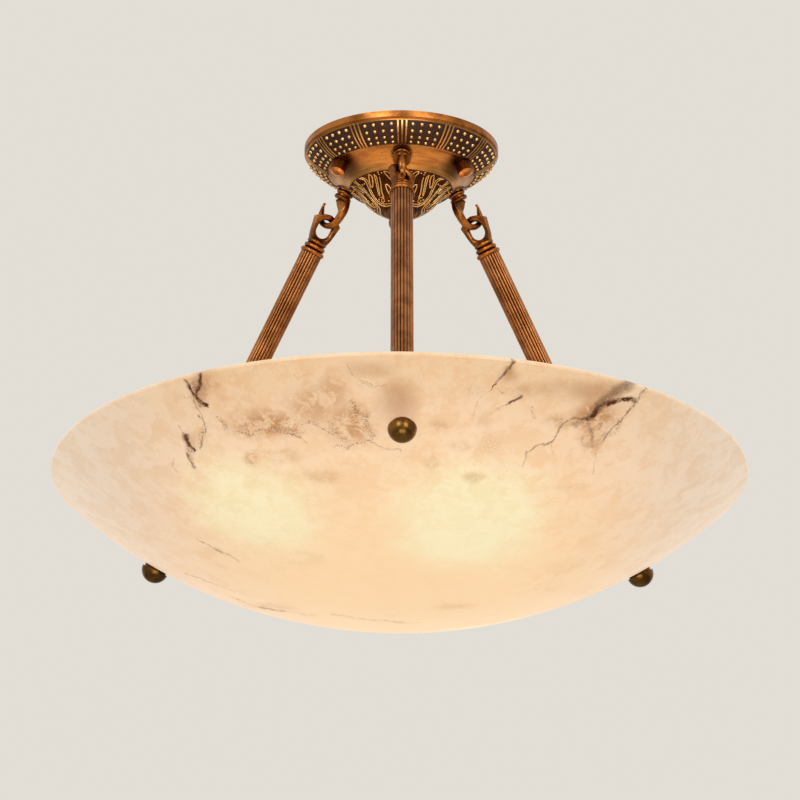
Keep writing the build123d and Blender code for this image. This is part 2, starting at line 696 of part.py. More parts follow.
with BuildPart() as hook_nuts:
    for name in ROD_ANGLES:
        with BuildSketch(collar_place(name).offset(hook_nut_bottom)):
            RegularPolygon(HOOK_NUT_WIDTH / 2, 6, major_radius=False)
            Circle(SHANK_RADIUS + RUNNING_FIT, mode=Mode.SUBTRACT)
        extrude(amount=HOOK_NUT_HEIGHT)
save(hook_nuts.part, "hook_nuts")

# ---------------------------------------------------------------- rods and their eyes

collar_height = -COLLAR_BELOW_LINK + BEAD_HEIGHT / 2
for name in ROD_ANGLES:
    place = link_place(name)
    face = lengthwise(place, EYE_TURN[name])
    with BuildPart() as rod_eye:
        with BuildSketch(face):
            with BuildLine():
                prong = Spline(
                    (EYE_BASE_HALF_WIDTH, -EYE_BASE),
                    (EYE_TIP_HALF_WIDTH, -EYE_TIP_DEPTH),
                    tangents=(direction(EYE_BASE_FLARE), direction(EYE_TIP_FLARE)),
                )
                arch = ThreePointArc(
                    prong @ 1,
                    (EYE_ARCH_HALF_WIDTH, EYE_ARCH_HEIGHT),
                    (0, EYE_CROWN),
                )
                Line(arch @ 1, (0, -EYE_BASE))
                Line((0, -EYE_BASE), prong @ 0)
            make_face()
            mirror(about=Plane.YZ)
            with Locations((0, -EYE_OPENING_HEIGHT / 2)):
                SlotOverall(
                    EYE_OPENING_HEIGHT,
                    EYE_OPENING_WIDTH,
                    rotation=QUARTER_TURN,
                    mode=Mode.SUBTRACT,
                )
        extrude(amount=EYE_THICKNESS / 2, both=True)
        shoulders = rod_eye.edges().filter_by(Axis(face.origin, face.z_dir))
        fillet(shoulders.sort_by(axis_of(place))[-2:], radius=SHOULDER_ROUNDING)
        flats = rod_eye.faces().filter_by(Axis(face.origin, face.z_dir))
        opening = [wire.edges() for flat in flats for wire in flat.inner_wires()]
        fillet(opening, radius=OPENING_ROUNDING)
        flats = rod_eye.faces().filter_by(Axis(face.origin, face.z_dir))
        outline = [flat.outer_wire().edges() for flat in flats]
        fillet(outline, radius=EYE_ROUNDING)
        with BuildSketch(lengthwise(place)):
            with BuildLine():
                collar = bead(COLLAR_RADIUS, collar_height)
                ring = bead(RING_RADIUS, collar_height + BEAD_STEP)
                cup = bead(CUP_RADIUS, collar_height + 2 * BEAD_STEP)
                Line(collar @ 1, ring @ 0)
                Line(ring @ 1, cup @ 0)
                Polyline(
                    cup @ 1,
                    (CUP_TOP_RADIUS, -CUP_TOP),
                    (0, -CUP_TOP),
                    (0, -COLLAR_BELOW_LINK - SPIGOT_LENGTH),
                    (ROD_BORE_RADIUS - RUNNING_FIT, -COLLAR_BELOW_LINK - SPIGOT_LENGTH),
                    (ROD_BORE_RADIUS - RUNNING_FIT, -COLLAR_BELOW_LINK),
                    collar @ 0,
                )
            make_face()
        revolve(axis=axis_of(place))
    save(rod_eye.part, f"rod_eye_{name}")

    with BuildPart() as rod:
        with BuildSketch(place.offset(-COLLAR_BELOW_LINK)):
            Circle(ROD_CORE_RADIUS)
            with PolarLocations(REED_RING_RADIUS, REED_COUNT):
                Circle(REED_RADIUS)
            Circle(ROD_BORE_RADIUS, mode=Mode.SUBTRACT)
        extrude(amount=-rod_length)
    save(rod.part, f"rod_{name}")

# ---------------------------------------------------------------- bowl

with BuildPart() as alabaster_bowl:
    with Locations((0, 0, sphere_height)):
        Sphere(sphere_radius)
        Sphere(inner_sphere_radius, mode=Mode.SUBTRACT)
    with BuildSketch(Plane.XY.offset(-RIM_BELOW_CEILING)):
        Circle(BOWL_RADIUS)
    extrude(amount=-BOWL_DEPTH - BOWL_WALL, mode=Mode.INTERSECT)
    rim = alabaster_bowl.faces().sort_by(Axis.Z)[-1]
    fillet(rim.edges(), radius=RIM_ROUNDING)
    for name in ROD_ANGLES:
        with BuildSketch(link_place(name).offset(-washer_top)):
            Circle(BOWL_HOLE_RADIUS)
        extrude(amount=washer_top - knob_seat, mode=Mode.SUBTRACT)
save(alabaster_bowl.part, "alabaster_bowl")

# ---------------------------------------------------------------- rod feet, washers, ball knobs

for name in ROD_ANGLES:
    place = link_place(name)
    with BuildPart() as foot_stud:
        with BuildSketch(lengthwise(place)):
            with BuildLine():
                Polyline(
                    (0, FOOT_PLUG_LENGTH - rod_bottom),
                    (ROD_BORE_RADIUS - RUNNING_FIT, FOOT_PLUG_LENGTH - rod_bottom),
                    (ROD_BORE_RADIUS - RUNNING_FIT, -rod_bottom),
                    (FOOT_FLANGE_RADIUS, -rod_bottom),
                    (FOOT_FLANGE_RADIUS, -tab_top),
                    (FOOT_STUD_RADIUS, -tab_top),
                    (FOOT_STUD_RADIUS, -knob_seat - KNOB_THREAD),
                    (0, -knob_seat - KNOB_THREAD),
                    close=True,
                )
            make_face()
        revolve(axis=axis_of(place))
    save(foot_stud.part, f"foot_stud_{name}")

    with BuildPart() as ball_knob:
        with BuildSketch(lengthwise(place)):
            with BuildLine():
                Line((0, -knob_seat), (KNOB_RADIUS, -knob_seat))
                TangentArc((0, knob_bottom), (KNOB_RADIUS, -knob_seat), tangent=(1, 0))
                Line((0, knob_bottom), (0, -knob_seat))
            make_face()
        revolve(axis=axis_of(place))
        with BuildSketch(place.offset(-knob_seat)):
            Circle(FOOT_STUD_RADIUS + RUNNING_FIT)
        extrude(amount=-KNOB_THREAD - SEAT_GAP, mode=Mode.SUBTRACT)
    save(ball_knob.part, f"ball_knob_{name}")

with BuildPart() as inner_washers:
    for name in ROD_ANGLES:
        with BuildSketch(link_place(name).offset(-washer_top)):
            Circle(INNER_WASHER_RADIUS)
            Circle(FOOT_STUD_RADIUS + RUNNING_FIT, mode=Mode.SUBTRACT)
        extrude(amount=-2 * INNER_WASHER_THICKNESS)
    with Locations((0, 0, sphere_height)):
        Sphere(inner_sphere_radius, mode=Mode.INTERSECT)
save(inner_washers.part, "inner_washers")

with BuildPart() as outer_washers:
    for name in ROD_ANGLES:
        with BuildSketch(link_place(name).offset(-knob_seat)):
            Circle(OUTER_WASHER_RADIUS)
            Circle(FOOT_STUD_RADIUS + RUNNING_FIT, mode=Mode.SUBTRACT)
        extrude(amount=2 * OUTER_WASHER_THICKNESS)
    with Locations((0, 0, sphere_height)):
        Sphere(sphere_radius, mode=Mode.SUBTRACT)
save(outer_washers.part, "outer_washers")

# ---------------------------------------------------------------- lamp bracket

with BuildPart() as lamp_bracket:
    with BuildSketch(Plane.XY.offset(hub_bottom)):
        Circle(HUB_RADIUS)
        Circle(HUB_HOLE_RADIUS, mode=Mode.SUBTRACT)
    extrude(amount=BRACKET_THICKNESS)
    for name, angle in ROD_ANGLES.items():
        with BuildSketch(radial_plane(angle)):
            with BuildLine():
                Polyline(
                    rod_point(-TAB_INNER_LENGTH, tab_top),
                    rod_point(TAB_OUTER_LENGTH, tab_top),
                    rod_point(TAB_OUTER_LENGTH, washer_top),
                    rod_point(-TAB_INNER_LENGTH, washer_top),
                    (HUB_RADIUS - LEG_OVERLAP, hub_bottom),
                    (HUB_RADIUS - LEG_OVERLAP, hub_top),
                    close=True,
                )
            make_face()
        extrude(amount=LEG_WIDTH / 2, both=True)
        with BuildSketch(link_place(name).offset(-tab_top)):
            Circle(FOOT_STUD_RADIUS + RUNNING_FIT)
        extrude(amount=tab_top - washer_top, mode=Mode.SUBTRACT)
    for name in LAMP_ANGLES:
        place = lamp_place(name)
        with BuildSketch(place):
            with Locations((hub_bottom - place.origin.Z, 0)):
                Rectangle(LUG_HEIGHT, LUG_WIDTH, align=(Align.MIN, Align.CENTER))
        extrude(amount=-BRACKET_THICKNESS)
        with BuildSketch(place):
            Circle(NIPPLE_RADIUS + RUNNING_FIT)
        extrude(amount=-BRACKET_THICKNESS, mode=Mode.SUBTRACT)
save(lamp_bracket.part, "lamp_bracket")

# ---------------------------------------------------------------- lampholders and bulbs

with BuildPart() as lampholder_nipples:
    for name in LAMP_ANGLES:
        with BuildSketch(lamp_place(name).offset(HOLDER_NECK_LENGTH)):
            Circle(NIPPLE_RADIUS)
        extrude(amount=-NIPPLE_LENGTH)
save(lampholder_nipples.part, "lampholder_nipples")

with BuildPart() as lampholder_nuts:
    for name in LAMP_ANGLES:
        with BuildSketch(lamp_place(name).offset(-BRACKET_THICKNESS)):
            RegularPolygon(NIPPLE_NUT_WIDTH / 2, 6, major_radius=False)
            Circle(NIPPLE_RADIUS + RUNNING_FIT, mode=Mode.SUBTRACT)
        extrude(amount=-NIPPLE_NUT_HEIGHT)
save(lampholder_nuts.part, "lampholder_nuts")

cup_floor = HOLDER_LENGTH - HOLDER_CUP_DEPTH
cap_start = cup_floor + SEAT_GAP
glass_start = cap_start + CAP_LENGTH
ball_centre = glass_start + BULB_LENGTH - BULB_RADIUS
for name in LAMP_ANGLES:
    place = lamp_place(name)
    with BuildPart() as lampholder:
        with BuildSketch(place):
            Circle(HOLDER_NECK_RADIUS)
        extrude(amount=HOLDER_NECK_LENGTH)
        with BuildSketch(place.offset(HOLDER_NECK_LENGTH)):
            Circle(HOLDER_RADIUS)
        extrude(amount=HOLDER_LENGTH - HOLDER_NECK_LENGTH)
        mouth = lampholder.faces().sort_by(axis_of(place))[-1]
        fillet(mouth.edges(), radius=HOLDER_ROUNDING)
        with BuildSketch(place):
            Circle(NIPPLE_RADIUS + RUNNING_FIT)
        extrude(amount=HOLDER_NECK_LENGTH, mode=Mode.SUBTRACT)
        with BuildSketch(place.offset(cup_floor)):
            Circle(CAP_RADIUS + RUNNING_FIT)
        extrude(amount=HOLDER_CUP_DEPTH, mode=Mode.SUBTRACT)
    save(lampholder.part, f"lampholder_{name}")

    with BuildPart() as bulb_cap:
        with BuildSketch(place.offset(cap_start)):
            Circle(CAP_RADIUS)
        extrude(amount=CAP_LENGTH)
        foot = bulb_cap.faces().sort_by(axis_of(place))[0]
        chamfer(foot.edges(), length=CAP_RADIUS / 3)
    save(bulb_cap.part, f"bulb_cap_{name}")

    with BuildPart() as bulb_glass:
        with BuildSketch(lengthwise(place)):
            for inset, mode in ((0, Mode.ADD), (BULB_GLASS_WALL, Mode.SUBTRACT)):
                ball = BULB_RADIUS - inset
                neck = CAP_RADIUS - inset
                x, y = direction(BULB_SHOULDER)
                with BuildLine():
                    stem = Line((neck, glass_start), (neck, glass_start + BULB_NECK_LENGTH))
                    shoulder = Spline(
                        stem @ 1,
                        (ball * x, ball_centre + ball * y),
                        tangents=(direction(QUARTER_TURN), direction(BULB_SHOULDER + QUARTER_TURN)),
                    )
                    ThreePointArc(shoulder @ 1, (ball, ball_centre), (0, ball_centre + ball))
                    Polyline((0, ball_centre + ball), (0, glass_start), stem @ 0)
                make_face(mode=mode)
        revolve(axis=axis_of(place))
    save(bulb_glass.part, f"bulb_glass_{name}")
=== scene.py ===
import bmesh
import bpy
import math
from mathutils import Matrix, Vector
from mathutils.bvhtree import BVHTree


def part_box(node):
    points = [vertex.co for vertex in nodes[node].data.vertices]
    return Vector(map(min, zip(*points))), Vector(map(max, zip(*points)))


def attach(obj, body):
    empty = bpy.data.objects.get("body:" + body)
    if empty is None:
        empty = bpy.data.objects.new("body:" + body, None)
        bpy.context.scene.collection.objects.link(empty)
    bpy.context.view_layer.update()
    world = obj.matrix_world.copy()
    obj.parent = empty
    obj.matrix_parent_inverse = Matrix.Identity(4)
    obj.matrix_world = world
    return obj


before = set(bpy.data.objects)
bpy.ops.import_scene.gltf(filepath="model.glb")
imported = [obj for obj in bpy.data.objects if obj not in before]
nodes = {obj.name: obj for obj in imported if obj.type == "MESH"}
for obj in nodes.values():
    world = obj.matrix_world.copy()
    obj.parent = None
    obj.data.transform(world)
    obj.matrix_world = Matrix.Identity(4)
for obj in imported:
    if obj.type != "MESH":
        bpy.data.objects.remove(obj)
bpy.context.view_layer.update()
scene = bpy.context.scene
scene.view_settings.view_transform = "Standard"

MM = 0.001
ROD_SIDES = ("front", "left", "right")
LAMP_SIDES = ("left", "right", "rear")
NUT_ANGLES = {"left": 210, "right": -30, "rear": 90}  # degrees about the centre line
NUT_RADIUS = 51.4  # mm from the centre line to the seats of the cap nuts
NUT_HEIGHT = -22.0  # mm, the ceiling is at 0
NUT_LEAN = 22  # degrees between a cap nut's axis and the upright


def around(angle, radius, height):
    """A point by its angle in degrees about the centre line, and its radius and height in mm."""
    turn = math.radians(angle)
    return Vector((radius * math.cos(turn), radius * math.sin(turn), height)) * MM


# ---------------------------------------------------------------- colours


def linear(level):
    """Linear value of an 8-bit level as it shows on a screen."""
    share = level / 255
    return share / 12.92 if share <= 0.04045 else ((share + 0.055) / 1.055) ** 2.4


def srgb(red, green, blue):
    return linear(red), linear(green), linear(blue)


PALE = (0.7605, 0.7305, 0.6724)  # backdrop and floor, linear
WORLD_LIGHT = (0.80, 0.78, 0.75)
WHITE = (1, 1, 1)
WARM_WHITE = (1.0, 0.97, 0.92)
BULB_LIGHT = (1.0, 0.62, 0.30)

MID_WARM = srgb(259, 222, 176)  # the stone, lit from inside
MID_EDGE = srgb(247, 213, 180)
UPPER_BAND = srgb(234, 197, 155)
PALE_SIDE = srgb(236, 216, 194)
HOT = srgb(255, 240, 196)
LIP = srgb(247, 226, 196)
MIST_TINT = srgb(249, 240, 228)
CLOUD_TINT = srgb(208, 180, 150)
# brown halos round the veins, and the painted shadow of the front rod's foot seen through the stone
HALO_AND_SHADOW_TINT = srgb(196, 170, 148)
DARK = srgb(98, 52, 24)
SPECK = srgb(112, 70, 38)
VEIN = srgb(84, 38, 8)

BRIGHT = srgb(184, 114, 52)  # cast brass, from its high places to its hollows, which patina and painted shade darken
MIDDLE = srgb(104, 58, 24)
DEEP = srgb(26, 10, 3)
COVE_HIGH = srgb(216, 148, 78)
COVE_MIDDLE = srgb(172, 106, 48)
COVE_GLINT = srgb(240, 184, 116)
# painted shadows round the cap nuts and painted shade under the band
COVE_SHADOW = srgb(88, 46, 18)
RIM_HIGH = srgb(186, 118, 56)
RIM_MIDDLE = srgb(126, 72, 30)
RIDGE_HIGH = srgb(242, 188, 116)
RIDGE_MIDDLE = srgb(204, 144, 78)
GROUND_DARK = srgb(44, 20, 10)
GROUND_LIGHT = srgb(72, 42, 26)
# painted shade on the sides of the cap nuts, multiplied into their colour
PAINTED_NUT_SIDE_SHADE = (0.16, 0.12, 0.09)

# ---------------------------------------------------------------- material nodes

MIX_A, MIX_B, MIX_RESULT = 6, 7, 2  # the Mix node's sockets for colours


class Tree:
    """Short calls for the nodes of one material, world or group."""

    def __init__(self, tree, made=None):
        self.tree = tree
        self.material = made

    def node(self, kind, **inputs):
        node = self.tree.nodes.new(kind)
        for name, value in inputs.items():
            self.put(node.inputs[name.replace("_", " ")], value)
        return node

    def put(self, socket, value):
        if isinstance(value, bpy.types.NodeSocket):
            self.tree.links.new(value, socket)
        elif socket.type == "RGBA" and len(value) == 3:
            socket.default_value = (*value, 1)
        else:
            socket.default_value = value

    def link(self, start, end):
        self.tree.links.new(start, end)

    def position(self):
        return self.node("ShaderNodeTexCoord").outputs["Object"]

    def math(self, operation, a, b=0.0):
        node = self.tree.nodes.new("ShaderNodeMath")
        node.operation = operation
        self.put(node.inputs[0], a)
        self.put(node.inputs[1], b)
        return node.outputs[0]

    def fold(self, operation, values):
        total = values[0]
        for value in values[1:]:
            total = self.math(operation, total, value)
        return total

    def plus(self, *values):
        return self.fold("ADD", values)

    def times(self, *values):
        return self.fold("MULTIPLY", values)

    def most(self, *values):
        return self.fold("MAXIMUM", values)

    def minus(self, a, b):
        return self.math("SUBTRACT", a, b)

    def vector(self, operation, a, b=None, scale=None):
        node = self.tree.nodes.new("ShaderNodeVectorMath")
        node.operation = operation
        self.put(node.inputs[0], a)
        if b is not None:
            self.put(node.inputs[1], b)
        if scale is not None:
            self.put(node.inputs["Scale"], scale)
        return node.outputs["Value" if operation in ("LENGTH", "DISTANCE", "DOT_PRODUCT") else 0]

    def moved(self, where, offset, reach):
        return self.vector("ADD", where, self.vector("SCALE", offset, scale=reach))

    def split(self, value):
        return self.node("ShaderNodeSeparateXYZ", Vector=value).outputs

    def join(self, x, y, z):
        return self.node("ShaderNodeCombineXYZ", X=x, Y=y, Z=z).outputs[0]

    def noise(self, where, scale, detail=3.0, rough=0.55, colour=False):
        node = self.node("ShaderNodeTexNoise", Vector=where, Scale=scale, Detail=detail, Roughness=rough)
        return node.outputs["Color" if colour else 0]

    def drift(self, where, scale, detail, rough):
        """A noise of directions, nought on the whole, that moves places about."""
        return self.vector("SUBTRACT", self.noise(where, scale, detail, rough, colour=True), (0.5, 0.5, 0.5))

    def ramp(self, value, low, high, start=0.0, end=1.0):
        node = self.tree.nodes.new("ShaderNodeMapRange")
        node.interpolation_type = "SMOOTHSTEP"
        for name, number in (("Value", value), ("From Min", low), ("From Max", high)):
            self.put(node.inputs[name], number)
        self.put(node.inputs["To Min"], start)
        self.put(node.inputs["To Max"], end)
        return node.outputs[0]

    def mix(self, share, a, b, blend="MIX"):
        node = self.tree.nodes.new("ShaderNodeMix")
        node.data_type = "RGBA"
        node.blend_type = blend
        node.clamp_factor = True
        self.put(node.inputs[0], share)
        self.put(node.inputs[MIX_A], a)
        self.put(node.inputs[MIX_B], b)
        return node.outputs[MIX_RESULT]

    def tint(self, share, colour, tint):
        """The colour, multiplied by a tint as far as the share goes."""
        return self.mix(share, colour, self.mix(1.0, colour, tint, "MULTIPLY"))

    def hollows(self, reach):
        """How open the surface lies, seen within a reach in millimetres."""
        cavity = self.node("ShaderNodeAmbientOcclusion", Distance=reach * MM)
        cavity.samples = 8
        return cavity.outputs["AO"]

    def surface(self, colour, metallic=0.0, roughness=0.5, bump=None, depth=0.0001, strength=1.0, **extra):
        shader = self.node("ShaderNodeBsdfPrincipled", Base_Color=colour, Roughness=roughness)
        self.put(shader.inputs["Metallic"], metallic)
        for name, value in extra.items():
            self.put(shader.inputs[name.replace("_", " ")], value)
        if bump is not None:
            bumped = self.node("ShaderNodeBump", Height=bump, Distance=depth, Strength=strength)
            self.link(bumped.outputs[0], shader.inputs["Normal"])
        out = self.node("ShaderNodeOutputMaterial")
        self.link(shader.outputs[0], out.inputs[0])


def material(name):
    made = bpy.data.materials.new(name)
    made.use_nodes = True
    made.node_tree.nodes.clear()
    return Tree(made.node_tree, made)


# ---------------------------------------------------------------- camera, light and backdrop

CAMERA_PLACE = (0.00011, -3.11149, -1.34953)
CAMERA_PITCH = 20.3165
CAMERA_TURN = 0.469  # the lamp is turned by this much about its centre line
CAMERA_ROLL = 0.33
CAMERA_LENS = 206.04
WORLD_STRENGTH = 0.55
LIT_POINT = (0, 0, -0.15)  # amid the rods, where the softboxes are aimed
SOFTBOXES = (  # name, place, size in metres, watts, colour
    ("key_left", (-1.4, -3.0, 0.9), (1.6, 1.6), 40, WHITE),
    ("key_right", (1.5, -2.9, 0.5), (1.4, 1.8), 34, WHITE),
    ("fill_below", (0.0, -2.2, -1.9), (2.0, 1.2), 24, WARM_WHITE),
)
GLOW_POWER = 0.35
GLOW_RADIUS = 0.02
FLOOR_HALF = 18.0
FLOOR_HEIGHT = -4.6  # low enough to stay out of the views from below


def camera():
    data = bpy.data.cameras.new("camera")
    data.sensor_width = 36
    data.lens = CAMERA_LENS
    data.clip_start = 0.05
    data.clip_end = 60
    cam = bpy.data.objects.new("camera", data)
    scene.collection.objects.link(cam)
    turn = Matrix.Rotation(math.radians(-CAMERA_TURN), 4, "Z")
    pitch = Matrix.Rotation(math.radians(90 + CAMERA_PITCH), 4, "X")
    roll = Matrix.Rotation(math.radians(CAMERA_ROLL), 4, "Z")
    cam.matrix_world = turn @ Matrix.Translation(CAMERA_PLACE) @ pitch @ roll
    scene.camera = cam


def backdrop():
    """A pale world for the eye, for reflections and through glass, and softer light for the rest."""
    world = bpy.data.worlds.new("studio")
    scene.world = world
    world.use_nodes = True
    world.node_tree.nodes.clear()
    t = Tree(world.node_tree)
    path = t.node("ShaderNodeLightPath").outputs
    direct = t.most(path["Is Camera Ray"], path["Is Glossy Ray"], path["Is Transmission Ray"])
    light = t.node("ShaderNodeBackground", Color=WORLD_LIGHT, Strength=WORLD_STRENGTH)
    shown = t.node("ShaderNodeBackground", Color=PALE, Strength=1.0)
    both = t.node("ShaderNodeMixShader")
    t.link(direct, both.inputs[0])
    t.link(light.outputs[0], both.inputs[1])
    t.link(shown.outputs[0], both.inputs[2])
    out = t.node("ShaderNodeOutputWorld")
    t.link(both.outputs[0], out.inputs[0])


def softbox(name, place, size, power, colour):
    data = bpy.data.lights.new(name, "AREA")
    data.shape = "RECTANGLE"
    data.size, data.size_y = size
    data.energy = power
    data.color = colour
    lamp = bpy.data.objects.new(name, data)
    scene.collection.objects.link(lamp)
    lamp.location = place
    aim = Vector(LIT_POINT) - Vector(place)
    lamp.rotation_euler = aim.to_track_quat("-Z", "Y").to_euler()


def glow_lamp(name, place):
    data = bpy.data.lights.new(name, "POINT")
    data.energy = GLOW_POWER
    data.color = BULB_LIGHT
    data.shadow_soft_size = GLOW_RADIUS
    lamp = bpy.data.objects.new(name, data)
    scene.collection.objects.link(lamp)
    lamp.location = place


def floor():
    mesh = bpy.data.meshes.new("floor")
    corners = ((-1, -1), (1, -1), (1, 1), (-1, 1))
    points = [(x * FLOOR_HALF, y * FLOOR_HALF, FLOOR_HEIGHT) for x, y in corners]
    mesh.from_pydata(points, [], [(0, 1, 2, 3)])
    plane = bpy.data.objects.new("floor", mesh)
    scene.collection.objects.link(plane)
    t = material("floor_pale")
    noise = t.noise(t.position(), 3.0, 2)
    shaded = tuple(0.97 * level for level in PALE)
    t.surface(t.mix(t.ramp(noise, 0.3, 0.7), PALE, shaded), roughness=0.9)
    mesh.materials.append(t.material)


# ---------------------------------------------------------------- brass

FINE_SCALE = 900.0  # of the finest scratches, per metre
BRASS_PATINA_SCALE = 75.0
DISH_PATINA_SCALE = 55.0
BRASS_GRAIN = 0.00012  # depth of the bumps, in metres
BRASS_BUMP = 0.35
WEAR = 0.16
BAND_CENTRE = (0.0392, 0.01509)  # of the arc that the dotted band follows: from the axis, and up
BAND_ARC = 0.03752
# Soft edges on the dish in metres, each from where it starts to where it ends: by height, by
# distance over the band's arc, from the centre line, and from a cap nut.
RIM_HEIGHTS = (-0.0066, -0.0058)
BAND_TOP_HEIGHTS = (-0.0064, -0.0069)
BAND_FOOT_HEIGHTS = (-0.0196, -0.0190)
# painted shade under the band, by height
BAND_SHADE_HEIGHTS = (-0.0185, -0.0205)
BAND_LEVELS = (-0.0012, -0.0006)
GROUND_LEVELS = (0.00042, 0.00018)
# painted shade under the band, from the centre line
BAND_SHADE_RADII = (0.0470, 0.0535)
# painted shadows round the cap nuts, by distance from a nut
NUT_SHADOW_REACH = (0.0075, 0.021)
COVE_HOLLOW = 3.0  # mm


def antique_brass(name, high, middle, deep, roughness, hollow, low=0.45, grain=BRASS_GRAIN, end=None):
    """Bronze-toned brass with a patina: patina and painted shade darken its hollows, and it stays bright
    where it stands out, with fine rubbed wear.

    With an end direction, the sides are darkened by painted shade and only the face that looks that way
    keeps its colour.
    """
    t = material(name)
    where = t.position()
    patina = t.noise(where, BRASS_PATINA_SCALE, 5, 0.62)
    fine = t.noise(where, FINE_SCALE, 3)
    openness = t.ramp(t.hollows(hollow), low, 0.96)
    colour = t.mix(t.ramp(patina, 0.36, 0.66), middle, high)
    # patina and painted shade: hollows, and gaps between parts within the reach, take the deep colour
    colour = t.mix(openness, deep, colour)
    colour = t.mix(t.times(t.ramp(fine, 0.35, 0.75), WEAR), colour, high)
    if end is not None:
        # painted shade on the sides, by how far the normal turns from the end direction
        normal = t.node("ShaderNodeTexCoord").outputs["Normal"]
        facing = t.ramp(t.vector("DOT_PRODUCT", normal, end), 0.15, 0.75)
        colour = t.mix(facing, t.mix(1.0, colour, PAINTED_NUT_SIDE_SHADE, "MULTIPLY"), colour)
    rough = t.ramp(patina, 0.2, 0.8, roughness - 0.06, roughness + 0.08)
    t.surface(colour, 1.0, rough, fine, grain, BRASS_BUMP)
    return t.material


def lathe_marks(t, radius, height, turn, across, along, detail, rough=0.55):
    """Noise drawn out into rings about the centre line."""
    where = t.join(t.times(radius, across), t.times(height, across), t.times(turn, along))
    return t.noise(where, 1.0, detail, rough)


def cove_colour(t, where, radius, height, turn, streaks):
    """Brushed brass with painted glints along the brushing, painted shadows round the cap nuts, and painted
    shade under the band and in the hollows.
    """
    broad = lathe_marks(t, radius, height, turn, 160.0, 2.2, 2)
    colour = t.mix(t.ramp(broad, 0.32, 0.68), COVE_MIDDLE, COVE_HIGH)
    colour = t.mix(t.ramp(streaks, 0.30, 0.75, 0.0, 0.55), colour, COVE_GLINT)
    # painted shadows round the cap nuts
    close = []
    for angle in NUT_ANGLES.values():
        away = t.vector("DISTANCE", where, around(angle, NUT_RADIUS, NUT_HEIGHT))
        close.append(t.ramp(away, *NUT_SHADOW_REACH, 1.0, 0.0))
    nut_shadows = t.times(t.most(*close), 0.85)
    # painted shade under the band
    band_shade = t.times(t.ramp(radius, *BAND_SHADE_RADII, 0.0, 0.35), t.ramp(height, *BAND_SHADE_HEIGHTS))
    colour = t.mix(t.most(nut_shadows, band_shade), colour, COVE_SHADOW)
    return t.mix(t.ramp(t.hollows(COVE_HOLLOW), 0.40, 0.92), DEEP, colour)


def dish_brass():
    """Rubbed copper-toned rim, near-black ground in the dotted band, brushed cove."""
    t = material("dish_brass_brushed")
    where = t.position()
    x, y, height = t.split(where)
    radius = t.vector("LENGTH", t.join(x, y, 0.0))
    turn = t.math("ARCTAN2", y, x)
    patina = t.noise(where, DISH_PATINA_SCALE, 5, 0.62)
    fine = t.noise(where, FINE_SCALE, 3)
    streaks = lathe_marks(t, radius, height, turn, 900.0, 2.6, 3, 0.6)
    from_centre = t.join(t.minus(radius, BAND_CENTRE[0]), t.minus(height, BAND_CENTRE[1]), 0.0)
    over = t.minus(t.vector("LENGTH", from_centre), BAND_ARC)
    band = t.times(t.ramp(height, *BAND_TOP_HEIGHTS), t.ramp(height, *BAND_FOOT_HEIGHTS))
    band = t.times(band, t.ramp(over, *BAND_LEVELS))
    ground = t.times(band, t.ramp(over, *GROUND_LEVELS))
    cove = cove_colour(t, where, radius, height, turn, streaks)
    rim = t.mix(t.ramp(patina, 0.34, 0.66), RIM_MIDDLE, RIM_HIGH)
    ridge = t.mix(t.ramp(patina, 0.36, 0.66), RIDGE_MIDDLE, RIDGE_HIGH)
    dark = t.mix(t.ramp(fine, 0.3, 0.7), GROUND_DARK, GROUND_LIGHT)
    colour = t.mix(t.ramp(height, *RIM_HEIGHTS), cove, rim)
    colour = t.mix(band, colour, ridge)
    colour = t.mix(ground, colour, dark)
    metallic = t.minus(1.0, t.times(ground, 0.55))
    rough = t.plus(t.ramp(streaks, 0.2, 0.8, 0.24, 0.40), t.times(ground, 0.24))
    bumps = t.plus(t.times(fine, 0.3), t.times(streaks, 0.7))
    t.surface(colour, metallic, rough, bumps, BRASS_GRAIN, BRASS_BUMP)
    return t.material


# ---------------------------------------------------------------- alabaster

SPHERE_RADIUS = 365.157  # mm, of the bowl's outer face
SPHERE_HEIGHT = 8.157  # of its centre, over the ceiling
VIEW_PITCH = math.radians(CAMERA_PITCH)
GLOW_SHARE = 0.72  # of the stone's colour that it gives out, and that it shows in other light
BODY_SHARE = 0.34
HOT_REACH = 88.0
HOT_SPOTS = (  # places in mm and strengths of the bulbs' light in the stone
    ((-101, -117, -323), 1.0),
    ((41, -134, -329), 1.0),
    ((66, -96, -338), 0.5),
    ((60, 120, -326), 0.9),
)
WARM_CENTRE = (10, -40, -345)
WARM_REACH = (60.0, 240.0)
FRONT_DEPTHS = (105.0, 140.0)  # the drawn strokes end here, behind the centre line
RIM_BAND_HEIGHTS = (-300.0, -258.0)
LIP_HEIGHTS = (-257.2, -255.6)
MIST_HEIGHTS = (-352.0, -300.0)
SIDE_REACH = (120.0, 245.0)
SHARP_KINDS = ("vein", "dark")  # these keep a full core, the others fade from the middle
CORE_SHARE = 0.15
STROKE_WOBBLE = 9.0  # mm that the strokes are moved about by, broadly and finely
STROKE_RIPPLE = 2.2
SKIN_INNER = 6.0  # mm under the outer face, where the strokes fade out and are full
SKIN_OUTER = 2.0
# the shade strokes tint halos round the veins, and one paints the shadow of the front rod's foot
TINTING_MARKS = (("cloud", 0.92, CLOUD_TINT), ("shade", 0.72, HALO_AND_SHADOW_TINT))
COVERING_MARKS = (("dark", 0.80, DARK), ("speck", 0.85, SPECK), ("vein", 0.95, VEIN))

